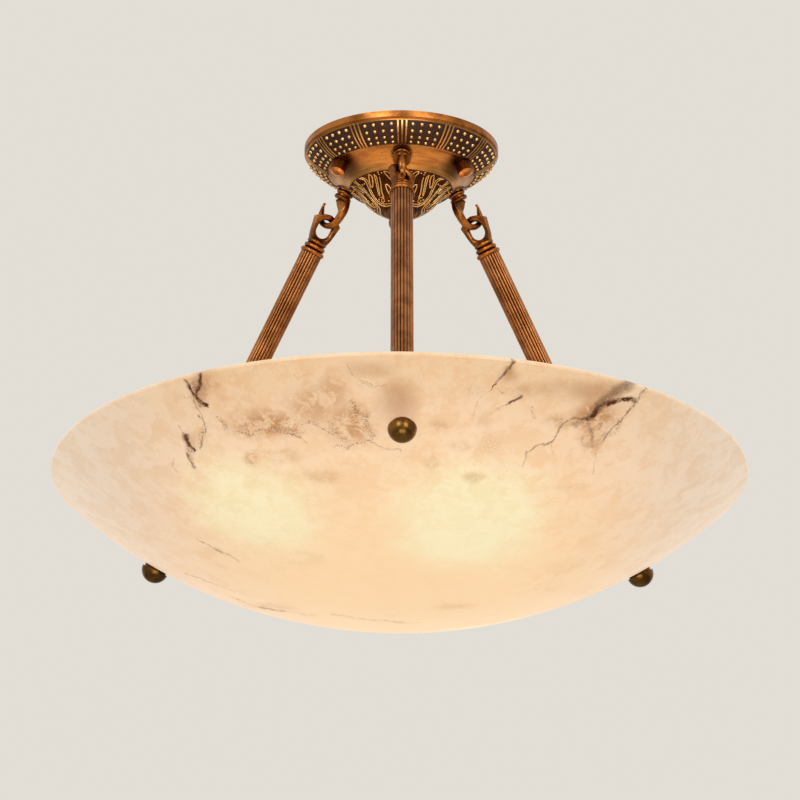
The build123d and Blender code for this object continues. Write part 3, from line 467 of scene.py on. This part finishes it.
# Veins and clouds drawn on the front of the bowl, in millimetres as the camera sees the stone:
# across, and up along the camera's own upright. Each has its kind, its strength, its width at
# the start and at the end, and the points that it follows. With a single point, the widths are
# the reach of an oval patch, across and up.
STROKES = [
    ("vein", 0.95, (1.4, 1.9), [(-147, -173), (-144, -179), (-141, -183)]),
    ("vein", 0.80, (2.4, 2.1), [(-136, -170), (-138, -177), (-140, -183)]),
    ("vein", 0.95, (2.1, 1.7), [(-141, -183), (-136, -188), (-132, -190)]),
    ("vein", 0.60, (0.6, 0.6), [(-143, -184), (-141, -190), (-136, -199), (-134, -208)]),
    ("vein", 0.60, (1.4, 0.9), [(-139, -198), (-135, -201)]),
    ("vein", 0.45, (0.6, 0.8), [(-135, -208), (-136, -215), (-138, -221)]),
    ("vein", 0.80, (3.0, 1.4), [(-147, -212), (-145, -218), (-142, -222)]),
    ("vein", 0.65, (1.3, 1.7), [(-148, -224), (-146, -227), (-143, -232)]),
    ("vein", 0.30, (0.6, 0.6), [(-153, -204), (-148, -213)]),
    ("vein", 0.30, (0.6, 0.6), [(-158, -227), (-157, -233), (-154, -236)]),
    ("vein", 0.25, (0.5, 0.5), [(-151, -179), (-149, -186), (-143, -184)]),
    ("speck", 0.70, (2.1, 2.1), [(-126, -198), (-122, -201), (-119, -205)]),
    ("speck", 0.80, (1.7, 1.6), [
        (-114, -208), (-104, -210), (-95, -205),
        (-87, -207), (-78, -208), (-68, -211),
    ]),
    ("speck", 0.60, (3.2, 3.2), [(-88, -205), (-76, -206), (-67, -208)]),
    ("vein", 0.35, (0.6, 0.4), [(-78, -208), (-69, -211), (-63, -216)]),
    ("speck", 0.70, (1.1, 1.6), [(-67, -202), (-61, -200), (-55, -204), (-49, -208), (-41, -210)]),
    ("speck", 0.80, (1.6, 1.4), [(-46, -217), (-37, -219), (-32, -215), (-22, -213)]),
    ("vein", 0.30, (0.7, 1.1), [(-22, -213), (-11, -218), (-1, -219)]),
    ("speck", 0.80, (2.9, 3.9), [(-34, -188), (-30, -196), (-24, -197), (-20, -210)]),
    ("speck", 0.55, (3.6, 3.6), [(-50, -201), (-44, -208), (-39, -213)]),
    ("speck", 0.45, (2.9, 2.1), [(-30, -174), (-21, -177), (-12, -176)]),
    ("vein", 0.22, (0.6, 0.6), [(-38, -162), (-33, -170), (-28, -173), (-21, -176)]),
    ("vein", 0.20, (0.6, 0.6), [(-74, -169), (-71, -172), (-64, -169)]),
    ("cloud", 0.71, (38.6, 14.4), [(-90, -202)]),
    ("cloud", 0.46, (28.9, 21.2), [(-60, -189)]),
    ("cloud", 0.69, (25.1, 21.2), [(-34, -202)]),
    ("cloud", 0.40, (17.4, 25.1), [(-47, -183)]),
    ("cloud", 0.57, (19.3, 13.5), [(-104, -204)]),
    ("cloud", 0.52, (9.6, 6.8), [(-102, -226)]),
    ("cloud", 0.29, (19.3, 6.8), [(-80, -224)]),
    ("cloud", 0.29, (25.1, 7.7), [(-56, -238)]),
    ("cloud", 0.40, (15.4, 11.6), [(-133, -174)]),
    # painted shadow of the front rod's foot, seen through the stone
    ("shade", 0.86, (21.4, 23.2), [(-3, -186)]),
    ("shade", 0.52, (26.8, 8.9), [(-22, -165)]),
    ("vein", 0.72, (2.6, 0.6), [(74, -158), (68, -167), (60, -178)]),
    ("cloud", 0.40, (5.8, 8.6), [(71, -163)]),
    ("vein", 0.18, (0.6, 0.6), [(60, -178), (52, -184), (46, -196)]),
    ("vein", 0.75, (2.1, 1.0), [(80, -182), (75, -184), (70, -187)]),
    ("cloud", 0.34, (13.5, 9.6), [(79, -178)]),
    ("vein", 0.18, (0.6, 0.6), [(70, -187), (57, -196)]),
    ("speck", 0.60, (1.1, 1.1), [(64, -177), (69, -180)]),
    ("speck", 0.70, (1.7, 1.4), [(88, -190), (90, -197)]),
    ("dark", 0.85, (7.2, 4.4), [(154, -172), (143, -180), (134, -188)]),
    ("dark", 0.55, (4.4, 2.6), [(134, -188), (126, -195), (117, -202)]),
    ("shade", 0.85, (10.0, 17.0), [(-138, -181)]),
    ("shade", 0.55, (6.5, 13.0), [(-145, -218)]),
    ("shade", 0.55, (12.0, 7.0), [(71, -168)]),
    ("speck", 0.85, (4.2, 2.6), [(-142, -175), (-137, -190)]),
    ("speck", 0.75, (3.2, 2.2), [(-135, -204), (-138, -219)]),
    ("speck", 0.85, (3.6, 2.2), [(-148, -211), (-143, -231)]),
    ("vein", 1.00, (2.4, 3.0), [(158, -184), (148, -184), (138, -187)]),
    ("vein", 1.00, (3.0, 2.4), [(138, -187), (131, -193), (126, -197)]),
    ("vein", 0.50, (1.3, 0.9), [
        (126, -196), (116, -197), (110, -200), (103, -212),
        (99, -215), (92, -217), (86, -220),
    ]),
    ("vein", 0.32, (0.9, 0.6), [(86, -220), (85, -224), (82, -230)]),
    ("speck", 0.80, (2.9, 2.1), [(166, -176), (163, -180), (159, -185), (155, -192)]),
    ("vein", 0.55, (0.7, 0.7), [
        (166, -176), (160, -183), (155, -192),
        (149, -200), (141, -207), (134, -216),
    ]),
    ("speck", 0.60, (2.4, 2.1), [(149, -199), (146, -206), (138, -209)]),
    ("vein", 0.25, (0.6, 0.6), [(134, -216), (133, -224), (132, -235)]),
    ("vein", 0.35, (2.5, 1.4), [(126, -198), (130, -207), (131, -216)]),
    ("vein", 0.22, (0.7, 0.6), [(124, -205), (124, -214)]),
    ("vein", 0.22, (0.7, 0.6), [(102, -214), (104, -221)]),
    ("cloud", 0.86, (23.1, 15.4), [(130, -196)]),
    ("cloud", 0.69, (13.5, 19.3), [(131, -207)]),
    ("cloud", 0.52, (21.2, 8.6), [(110, -199)]),
    ("shade", 0.86, (30.4, 11.6), [(128, -178)]),
    ("shade", 0.46, (25.0, 8.9), [(102, -176)]),
    ("cloud", 0.32, (11.6, 5.8), [(50, -238)]),
    ("cloud", 0.29, (8.6, 8.6), [(20, -228)]),
    ("cloud", 0.29, (11.6, 5.8), [(39, -216)]),
    ("cloud", 0.25, (11.6, 7.7), [(26, -202)]),
    ("cloud", 0.23, (9.6, 7.7), [(54, -199)]),
    ("speck", 0.25, (10.0, 7.1), [(49, -178)]),
    ("speck", 0.22, (15.7, 11.4), [(61, -214)]),
    ("cloud", 0.21, (15.4, 4.9), [(119, -244)]),
    ("vein", 0.35, (0.7, 1.1), [(-143, -284), (-130, -290), (-114, -300)]),
    ("vein", 0.30, (0.9, 0.6), [(-153, -312), (-133, -319), (-117, -324)]),
    ("vein", 0.45, (0.7, 1.3), [(-120, -330), (-101, -335), (-82, -338)]),
    ("speck", 0.35, (1.4, 1.4), [(-82, -338), (-58, -341)]),
    ("cloud", 0.25, (28.9, 4.9), [(-92, -335)]),
    ("vein", 0.25, (0.7, 0.6), [(-49, -339), (-19, -344), (16, -345)]),
    ("cloud", 0.21, (23.1, 4.9), [(40, -332)]),
]

SEGMENT_INPUTS = {
    "P": "Vector",
    "A": "Vector",
    "Run": "Vector",
    "Share": "Vector",
    "Width": "Float",
    "Width End": "Float",
    "Core": "Float",
}


def segment_group():
    """Closeness to a straight run from A: 1 on its core, and 0 at the width's edge."""
    group = bpy.data.node_groups.new("segment", "ShaderNodeTree")
    for name, kind in SEGMENT_INPUTS.items():
        group.interface.new_socket(name, in_out="INPUT", socket_type="NodeSocket" + kind)
    group.interface.new_socket("Near", in_out="OUTPUT", socket_type="NodeSocketFloat")
    t = Tree(group)
    inputs = t.node("NodeGroupInput").outputs
    out = t.node("NodeGroupOutput")
    offset = t.vector("SUBTRACT", inputs["P"], inputs["A"])
    along = t.math("MINIMUM", t.vector("DOT_PRODUCT", offset, inputs["Share"]), 1.0)
    along = t.most(along, 0.0)
    foot = t.vector("SCALE", inputs["Run"], scale=along)
    away = t.vector("LENGTH", t.vector("SUBTRACT", offset, foot))
    width = t.plus(inputs["Width"], t.times(t.minus(inputs["Width End"], inputs["Width"]), along))
    near = t.ramp(t.math("DIVIDE", away, width), inputs["Core"], 1.0, 1.0, 0.0)
    t.link(near, out.inputs[0])
    return group


def run_near(t, group, where, start, end, width, width_end, core):
    run = Vector((end[0] - start[0], end[1] - start[1], 0))
    node = t.tree.nodes.new("ShaderNodeGroup")
    node.node_tree = group
    t.link(where, node.inputs["P"])
    t.put(node.inputs["A"], (*start, 0))
    t.put(node.inputs["Run"], run)
    t.put(node.inputs["Share"], run / run.length_squared)
    t.put(node.inputs["Width"], width)
    t.put(node.inputs["Width End"], width_end)
    t.put(node.inputs["Core"], core)
    return node.outputs[0]


def spot_near(t, where, centre, radii):
    offset = t.vector("SUBTRACT", where, (*centre, 0))
    away = t.vector("LENGTH", t.vector("DIVIDE", offset, (*radii, 1.0)))
    return t.ramp(away, 0.15, 1.0, 1.0, 0.0)


def drawn_strokes(t, where):
    """How strongly the drawn strokes of each kind mark the stone at a place."""
    group = segment_group()
    found = {stroke[0]: [] for stroke in STROKES}
    for kind, strength, widths, points in STROKES:
        if len(points) == 1:
            found[kind].append(t.times(spot_near(t, where, points[0], widths), strength))
            continue
        runs = len(points) - 1
        growth = (widths[1] - widths[0]) / runs
        core = CORE_SHARE if kind in SHARP_KINDS else 0.0
        for i in range(runs):
            start = widths[0] + growth * i
            near = run_near(t, group, where, points[i], points[i + 1], start, start + growth, core)
            found[kind].append(t.times(near, strength))
    return {kind: t.most(*values) for kind, values in found.items()}


def seen_from_front(t, where, wobble):
    """The place as the camera sees it, across and up in mm, moved about for crooked veins."""
    x, y, z = t.split(where)
    up = t.plus(t.times(y, -math.sin(VIEW_PITCH)), t.times(z, math.cos(VIEW_PITCH)))
    bent = t.moved(t.join(x, up, 0.0), wobble, STROKE_WOBBLE)
    bent = t.moved(bent, t.drift(where, 0.5, 3, 0.6), STROKE_RIPPLE)
    flat = t.split(bent)
    return t.join(flat[0], flat[1], 0.0)


def stone_marks(t, where, wobble, grain, mottled):
    """Strength of each kind of mark: the drawn ones in front, thin and broken ones elsewhere."""
    drawn = drawn_strokes(t, seen_from_front(t, where, wobble))
    from_centre = t.vector("DISTANCE", where, (0, 0, SPHERE_HEIGHT))
    outside = t.ramp(from_centre, SPHERE_RADIUS - SKIN_INNER, SPHERE_RADIUS - SKIN_OUTER)
    front = t.times(t.ramp(t.split(where)[1], *FRONT_DEPTHS, 1.0, 0.0), outside)
    shown = {kind: t.times(value, front) for kind, value in drawn.items()}

    wide = t.noise(t.moved(where, wobble, 60.0), 0.011, 4, 0.6)
    thread = t.ramp(t.math("ABSOLUTE", t.minus(wide, 0.52)), 0.0, 0.012, 1.0, 0.0)
    patch = t.ramp(t.noise(where, 0.008, 2), 0.50, 0.66)
    loose = t.times(thread, patch)
    breaks = t.ramp(t.noise(where, 0.16, 3), 0.36, 0.60)
    curdled = t.ramp(t.noise(t.moved(where, wobble, 25.0), 0.085, 7, 0.74), 0.37, 0.59)

    marks = {"shade": shown["shade"]}
    broken = t.times(shown["vein"], t.ramp(breaks, 0.0, 1.0, 0.62, 1.25))
    behind = t.times(loose, t.minus(1.0, front), 0.55)
    marks["vein"] = t.most(broken, behind, t.times(loose, 0.10))
    marks["dark"] = t.times(shown["dark"], t.ramp(grain, 0.30, 0.52, 0.45, 1.0))
    torn = t.times(shown["cloud"], t.ramp(curdled, 0.0, 1.0, 0.30, 1.55))
    faint = t.times(t.ramp(mottled, 0.55, 1.0), patch, 0.30)
    marks["cloud"] = t.most(torn, faint)
    peppered = t.times(shown["cloud"], t.ramp(grain, 0.56, 0.66), t.ramp(breaks, 0.2, 1.0))
    marks["speck"] = t.most(t.times(shown["speck"], t.ramp(grain, 0.47, 0.58)), t.times(peppered, 0.75))
    return marks


def stone_light(t, where, mottled):
    """Colour of the plain stone with the bulbs on: painted glow, brightest in pools by the bulbs."""
    x, _, z = t.split(where)
    glows = []
    for centre, strength in HOT_SPOTS:
        glows.append(t.ramp(t.vector("DISTANCE", where, centre), 0.0, HOT_REACH, strength, 0.0))
    hot = t.plus(*glows, t.times(t.minus(mottled, 0.5), 0.22))
    middle = t.ramp(t.vector("DISTANCE", where, WARM_CENTRE), *WARM_REACH, 1.0, 0.0)
    side = t.ramp(t.math("ABSOLUTE", x), *SIDE_REACH)
    colour = t.mix(middle, MID_EDGE, MID_WARM)
    colour = t.mix(t.times(t.ramp(z, *RIM_BAND_HEIGHTS), 0.85), colour, UPPER_BAND)
    colour = t.mix(t.times(side, 0.90), colour, PALE_SIDE)
    colour = t.mix(t.ramp(hot, 0.05, 0.95), colour, HOT)
    return t.mix(t.times(t.ramp(z, *LIP_HEIGHTS), 0.55), colour, LIP)


def alabaster():
    """Translucent stone: part of its colour is given out, as if lit from inside."""
    t = material("alabaster_lit")
    where = t.vector("SCALE", t.position(), scale=1 / MM)
    wobble = t.drift(where, 0.055, 5, 0.62)
    grain = t.noise(where, 0.9, 4, 0.7)
    mottled = t.ramp(t.noise(where, 0.035, 5, 0.62), 0.36, 0.66)
    marks = stone_marks(t, where, wobble, grain, mottled)
    misty = t.ramp(t.noise(t.moved(where, wobble, 40.0), 0.055, 8, 0.70), 0.43, 0.60)
    misty = t.times(misty, t.ramp(t.split(where)[2], *MIST_HEIGHTS, 0.25, 1.0))
    colour = stone_light(t, where, mottled)
    colour = t.tint(t.times(misty, 0.85), colour, MIST_TINT)
    for kind, share, tint in TINTING_MARKS:
        colour = t.tint(t.times(marks[kind], share), colour, tint)
    for kind, share, paint in COVERING_MARKS:
        colour = t.mix(t.times(marks[kind], share), colour, paint)
    # painted glow: the stone gives out this light itself, and its base colour below carries the same glow
    lit = t.mix(1.0, colour, (GLOW_SHARE,) * 3, "MULTIPLY")
    plain = t.mix(1.0, colour, (BODY_SHARE,) * 3, "MULTIPLY")
    glow = {"Emission_Color": lit, "Emission_Strength": 1.0, "Specular_IOR_Level": 0.35}
    t.surface(plain, 0.0, 0.38, grain, 0.00006, 0.25, **glow)
    return t.material


# ---------------------------------------------------------------- plainer materials


def plated_steel():
    t = material("zinc_plated_steel")
    spots = t.noise(t.position(), 500.0, 3)
    cloudy = t.noise(t.position(), 40.0, 3)
    colour = t.mix(t.ramp(cloudy, 0.3, 0.7), (0.50, 0.50, 0.48), (0.62, 0.62, 0.58))
    t.surface(colour, 1.0, t.ramp(spots, 0.3, 0.7, 0.28, 0.42), spots, 0.00005, 0.3)
    return t.material


def rubber():
    t = material("rubber_washer")
    grain = t.noise(t.position(), 1500.0, 3)
    colour = t.mix(t.ramp(grain, 0.3, 0.7), (0.018, 0.018, 0.018), (0.035, 0.034, 0.033))
    t.surface(colour, 0.0, 0.75, grain, 0.00005, 0.5)
    return t.material


def ceramic():
    t = material("white_glaze")
    pits = t.noise(t.position(), 700.0, 3)
    tone = t.noise(t.position(), 50.0, 2)
    colour = t.mix(t.ramp(tone, 0.3, 0.7), (0.83, 0.81, 0.76), (0.88, 0.87, 0.83))
    t.surface(colour, 0.0, 0.16, pits, 0.00003, 0.3)
    return t.material


def terminal_plastic():
    t = material("terminal_plastic")
    grain = t.noise(t.position(), 1200.0, 3)
    colour = t.mix(t.ramp(grain, 0.3, 0.7), (0.80, 0.79, 0.74), (0.86, 0.85, 0.81))
    t.surface(colour, 0.0, 0.45, grain, 0.00004, 0.4)
    return t.material


def bulb_cap_metal():
    t = material("bulb_cap_aluminium")
    grain = t.noise(t.position(), 800.0, 3)
    colour = t.mix(t.ramp(grain, 0.3, 0.7), (0.66, 0.66, 0.65), (0.76, 0.76, 0.75))
    t.surface(colour, 1.0, 0.28, grain, 0.00004, 0.4)
    return t.material


def frosted_glass():
    """Opal bulbs, lit."""
    t = material("opal_bulb_lit")
    frost = t.noise(t.position(), 900.0, 3)
    colour = t.mix(t.ramp(frost, 0.3, 0.7), (1.0, 0.83, 0.58), (1.0, 0.88, 0.66))
    t.surface(colour, 0.0, 0.35, frost, 0.00003, 0.3, Emission_Color=colour, Emission_Strength=1.6)
    return t.material


# ---------------------------------------------------------------- ornament on the canopy

UPWARDS = Vector((0, 0, 1))
BELOW_CANOPY = -90  # mm, where the rays that find the dome start
RAY_OUTWARDS = 8  # mm from the band to where the rays that find it start
RAY_DOWN = 12

BEAD_RISE = 0.9  # shares of a bead's radius
BEAD_SUNK = 0.35
BEAD_RINGS = 4
BEAD_RADIUS = 1.42 * MM
DIVIDER_COUNT = 12
DIVIDER_START = -90  # one divider lies over the front hook
BAND_COLUMNS = (6.6, 12.2, 17.8, 23.4)  # degrees from each divider
BAND_ROWS = ((68.0, -8.9), (64.3, -12.7), (60.4, -16.2), (56.8, -18.7))  # radius and height in mm
SMALLEST_BEAD = 0.86  # of the band's beads, as a share of the radius in the outermost row

# One half of a dome panel, in (degrees from its middle, radius in mm): open lines with their half
# widths at both ends in mm, closed loops with theirs, and beads.
PANELS = (-90, 30, 150)  # middles of the dome's three panels
LINE_STEPS = 7
LOOP_STEPS = 5
RIDGE_SECTIONS = 8
RIDGE_RISE = 0.75  # as a share of the half width
END_POINTS = 2  # an open line tapers over this many points at its ends
END_SHARE = 0.02
FRAME_LINE = [
    (56.6, 38.0), (52.6, 34.2), (55.4, 28.6), (57.2, 24.0),
    (56.0, 19.4), (47.0, 15.9), (26.0, 15.2), (0, 15.1),
]
INNER_FRAME_LINE = [
    (52.4, 37.9), (49.2, 33.4), (52.4, 27.6), (53.8, 23.6),
    (51.4, 20.0), (42.0, 17.6), (22.0, 16.9), (0, 16.8),
]
DOME_LINES = (
    ((0.64, 0.58), FRAME_LINE),
    ((0.44, 0.40), INNER_FRAME_LINE),
    ((0.42, 0.72), [(29.6, 33.0), (30.6, 29.6), (34.0, 25.6), (35.6, 21.6)]),
    ((0.42, 0.66), [(12.6, 37.0), (10.2, 34.6), (8.8, 30.8)]),
    ((0.62, 0.40), [(7.6, 28.6), (10.0, 25.0), (9.6, 21.8), (4.0, 19.2)]),
)
OUTER_LEAF = [
    (39.6, 37.4), (43.2, 34.8), (47.0, 31.8), (49.0, 29.2),
    (46.0, 29.0), (41.6, 31.6), (38.6, 35.0),
]
LONG_LEAF = [
    (34.6, 35.6), (36.4, 32.4), (39.6, 27.6), (42.2, 23.8),
    (38.8, 25.6), (35.2, 30.0), (33.4, 33.4),
]
UPPER_LOOP = [(20.6, 37.2), (20.0, 34.4), (15.4, 30.6), (14.2, 33.6), (17.2, 36.4)]
LOWER_LOOP = [(24.0, 28.4), (23.6, 25.0), (17.0, 20.8), (15.2, 23.8), (19.2, 27.6)]
DOME_LOOPS = ((0.54, OUTER_LEAF), (0.50, LONG_LEAF), (0.50, UPPER_LOOP), (0.50, LOWER_LOOP))
DOME_DOTS = ((27.4, 37.2), (23.8, 35.9), (28.2, 35.0), (47.6, 21.8), (28.0, 19.2), (57.6, 32.0))
DOT_RADIUS = 0.72 * MM
CURL_CENTRE = (42.0, 20.6)
CURL_SIZE = 2.1
CURL_START = 60
CURL_TURNS = 1.2
CURL_WIDTHS = (0.40, 0.26)
CURL_POINTS = 26
CURL_TIGHTENING = 0.85
CURL_EYE = 0.16  # radius in mm at which a scroll ends
BOSS_FROM_CENTRE = 33.8  # the bead on each panel's middle line, in mm
BOSS_RADIUS = 1.1 * MM


def surface_finder(node):
    """Finds places on a CAD node: place and outward normal where a ray meets it."""
    mesh = nodes[node].data
    points = [v.co.copy() for v in mesh.vertices]
    faces = [tuple(p.vertices) for p in mesh.polygons]
    tree = BVHTree.FromPolygons(points, faces)

    def find(start, direction):
        place, normal, _, _ = tree.ray_cast(start, direction)
        if place is None:
            raise RuntimeError("no surface of " + node + " at " + str(tuple(start)))
        if normal.dot(direction) > 0:
            normal = -normal
        return place, normal

    return find


def add_object(name, mesh, body, made):
    for polygon in mesh.polygons:
        polygon.use_smooth = True
    mesh.materials.append(made)
    piece = bpy.data.objects.new(name, mesh)
    scene.collection.objects.link(piece)
    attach(piece, body)


def mesh_of(name, bm):
    mesh = bpy.data.meshes.new(name)
    bmesh.ops.recalc_face_normals(bm, faces=bm.faces)
    bm.to_mesh(mesh)
    bm.free()
    return mesh


def join_rows(bm, rows):
    """Faces between each closed row of points and the next."""
    for low, high in zip(rows, rows[1:]):
        for j in range(len(low)):
            k = (j + 1) % len(low)
            bm.faces.new((low[j], low[k], high[k], high[j]))


def add_bead(bm, place, normal, radius, count=12):
    """A small domed bead that stands on a surface and is closed a little below it."""
    side = normal.orthogonal().normalized()
    other = normal.cross(side)
    levels = [(-BEAD_SUNK, 1.0), (0.0, 1.0)]
    for ring in range(1, BEAD_RINGS):
        turn = math.pi / 2 * ring / BEAD_RINGS
        levels.append((math.sin(turn) * BEAD_RISE, math.cos(turn)))
    rows = []
    for level, share in levels:
        row = []
        for j in range(count):
            turn = 2 * math.pi * j / count
            spread = (side * math.cos(turn) + other * math.sin(turn)) * radius * share
            row.append(bm.verts.new(place + normal * radius * level + spread))
        rows.append(row)
    join_rows(bm, rows)
    bm.faces.new(list(reversed(rows[0])))
    top = bm.verts.new(place + normal * radius * BEAD_RISE)
    for j in range(count):
        bm.faces.new((rows[-1][j], rows[-1][(j + 1) % count], top))


def band_beads(made):
    """Gold beads between the dish's dividers, in rows that close up as the band narrows."""
    find = surface_finder("canopy_dish")
    bm = bmesh.new()
    outermost, innermost = BAND_ROWS[0][0], BAND_ROWS[-1][0]
    for divider in range(DIVIDER_COUNT):
        for column in BAND_COLUMNS:
            angle = DIVIDER_START + 360 / DIVIDER_COUNT * divider + column
            for radius, height in BAND_ROWS:
                outside = around(angle, radius + RAY_OUTWARDS, height - RAY_DOWN)
                inward = around(angle, radius, height) - outside
                place, normal = find(outside, inward.normalized())
                share = (radius - innermost) / (outermost - innermost)
                size = BEAD_RADIUS * (SMALLEST_BEAD + (1 - SMALLEST_BEAD) * share)
                add_bead(bm, place, normal, size)
    add_object("band_beads", mesh_of("band_beads", bm), "canopy", made)


def smooth_line(points, steps):
    """Points along a smooth curve through the given ones."""
    ends = [points[0]] + list(points) + [points[-1]]
    line = []
    for i in range(1, len(ends) - 2):
        a, b, c, d = (Vector(p) for p in ends[i - 1 : i + 3])
        for j in range(steps):
            t = j / steps
            square = (2 * a - 5 * b + 4 * c - d) * t**2
            cube = (3 * b - a - 3 * c + d) * t**3
            line.append(0.5 * (2 * b + (c - a) * t + square + cube))
    line.append(Vector(points[-1]))
    return line


def add_ridge(bm, find, panel, line, widths, mirror, closed=False):
    """A raised line on the dome. Its points are (degrees from the panel's middle, radius in mm)."""
    places = [find(around(panel + mirror * angle, radius, BELOW_CANOPY), UPWARDS) for angle, radius in line]
    last = len(places) - 1
    rows = []
    for i, (place, normal) in enumerate(places):
        before = places[i - 1][0] if closed or i else place
        after = places[(i + 1) % len(places)][0] if closed or i < last else place
        along = (after - before).normalized()
        side = along.cross(normal).normalized()
        width = (widths[0] + (widths[1] - widths[0]) * i / last) * MM
        if not closed:
            from_end = min(i, last - i) / END_POINTS
            width *= math.sqrt(max(END_SHARE, min(1.0, from_end)))
        row = []
        for j in range(RIDGE_SECTIONS):
            turn = 2 * math.pi * j / RIDGE_SECTIONS
            rise = normal * width * RIDGE_RISE * math.sin(turn)
            row.append(bm.verts.new(place + side * width * math.cos(turn) + rise))
        rows.append(row)
    if closed:
        join_rows(bm, rows + rows[:1])
        return
    join_rows(bm, rows)
    bm.faces.new(rows[0])
    bm.faces.new(list(reversed(rows[-1])))


def curl_points():
    """A scroll that winds in to its centre."""
    angle, radius = CURL_CENTRE
    points = []
    for i in range(CURL_POINTS):
        share = i / (CURL_POINTS - 1)
        reach = CURL_SIZE * (1 - share) ** CURL_TIGHTENING + CURL_EYE
        turn = math.radians(CURL_START + CURL_TURNS * 360 * share)
        across = reach * math.cos(turn)
        points.append((angle + math.degrees(across / radius), radius + reach * math.sin(turn)))
    return points


def dome_ornament(made):
    """Framed panels with leaves, loops and scrolls, each half a mirror of the other."""
    find = surface_finder("canopy_dome")
    bm = bmesh.new()
    for panel in PANELS:
        for mirror in (-1, 1):
            for widths, points in DOME_LINES:
                add_ridge(bm, find, panel, smooth_line(points, LINE_STEPS), widths, mirror)
            for width, points in DOME_LOOPS:
                loop = smooth_line(points + points[:1], LOOP_STEPS)[:-1]
                add_ridge(bm, find, panel, loop, (width, width), mirror, closed=True)
            add_ridge(bm, find, panel, curl_points(), CURL_WIDTHS, mirror)
            for angle, radius in DOME_DOTS:
                place, normal = find(around(panel + mirror * angle, radius, BELOW_CANOPY), UPWARDS)
                add_bead(bm, place, normal, DOT_RADIUS, count=10)
        place, normal = find(around(panel, BOSS_FROM_CENTRE, BELOW_CANOPY), UPWARDS)
        add_bead(bm, place, normal, BOSS_RADIUS)
    add_object("dome_ornament", mesh_of("dome_ornament", bm), "canopy", made)


# ---------------------------------------------------------------- finish of every node

STEEL_NODES = (
    "mounting_plate",
    "mounting_studs",
    "dome_bridge",
    "centre_rod",
    "centre_nut",
    "hook_washers",
    "hook_nuts",
    "lamp_bracket",
    "lampholder_nipples",
    "lampholder_nuts",
)


def dress(node, made):
    for slot in nodes[node].material_slots:
        slot.material = made


def dress_brass():
    # the reach in mm after the roughness sets how far painted shade and patina spread into hollows and
    # between parts
    cast = antique_brass("cast_brass_patina_and_shade", BRIGHT, MIDDLE, DEEP, 0.30, 4.0, 0.40)
    high, middle, deep = srgb(100, 56, 26), srgb(58, 30, 13), srgb(22, 10, 4)
    ground = antique_brass("dome_ground_dark", high, middle, deep, 0.42, 2.2)
    high, middle = srgb(186, 122, 66), srgb(126, 76, 38)
    turned = antique_brass("turned_brass_patina_and_shade", high, middle, DEEP, 0.30, 2.0)
    high, middle, deep = srgb(190, 124, 74), srgb(146, 88, 46), srgb(34, 14, 3)
    reeded = antique_brass("reeded_brass_patina_and_shade", high, middle, deep, 0.32, 1.3, 0.55)
    high, middle, deep = srgb(134, 96, 46), srgb(84, 54, 22), srgb(28, 18, 8)
    knob = antique_brass("knob_brass_dark", high, middle, deep, 0.26, 2.0)
    dress("canopy_dish", dish_brass())
    dress("canopy_dome", ground)
    dress("rosette", cast)
    dress("centre_finial", cast)
    dress("outer_washers", turned)
    for side in ROD_SIDES:
        dress("hook_arm_" + side, cast)
        dress("rod_eye_" + side, cast)
        dress("rod_" + side, reeded)
        dress("foot_stud_" + side, turned)
        dress("ball_knob_" + side, knob)


def dress_cap_nuts():
    lean = math.radians(NUT_LEAN)
    high, middle = srgb(236, 156, 84), srgb(204, 122, 56)
    for side, angle in NUT_ANGLES.items():
        turn = math.radians(angle)
        # the end face looks down and outwards along the nut's axis; the other faces get painted shade
        end = (math.sin(lean) * math.cos(turn), math.sin(lean) * math.sin(turn), -math.cos(lean))
        name = "cap_nut_" + side
        dress(name, antique_brass(name, high, middle, DEEP, 0.24, 2.0, 0.30, end=end))


def dress_other_nodes():
    steel = plated_steel()
    for node in STEEL_NODES:
        dress(node, steel)
    glaze, cap, glass = ceramic(), bulb_cap_metal(), frosted_glass()
    for side in LAMP_SIDES:
        dress("lampholder_" + side, glaze)
        dress("bulb_cap_" + side, cap)
        dress("bulb_glass_" + side, glass)
    dress("inner_washers", rubber())
    dress("terminal_block", terminal_plastic())
    dress("alabaster_bowl", alabaster())


def ornament_brass():
    high, middle, deep = srgb(255, 212, 142), srgb(232, 174, 104), srgb(110, 66, 30)
    return antique_brass("ornament_rubbed", high, middle, deep, 0.24, 0.8, 0.25, 0.00002)


# ---------------------------------------------------------------- the scene

camera()
backdrop()
floor()
for name, place, size, power, colour in SOFTBOXES:
    softbox(name, place, size, power, colour)
dress_brass()
dress_cap_nuts()
dress_other_nodes()
relief = ornament_brass()
band_beads(relief)
dome_ornament(relief)
for side in LAMP_SIDES:
    low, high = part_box("bulb_glass_" + side)
    middle = [(a + b) / 2 for a, b in zip(low, high)]
    glow_lamp("glow_" + side, middle)
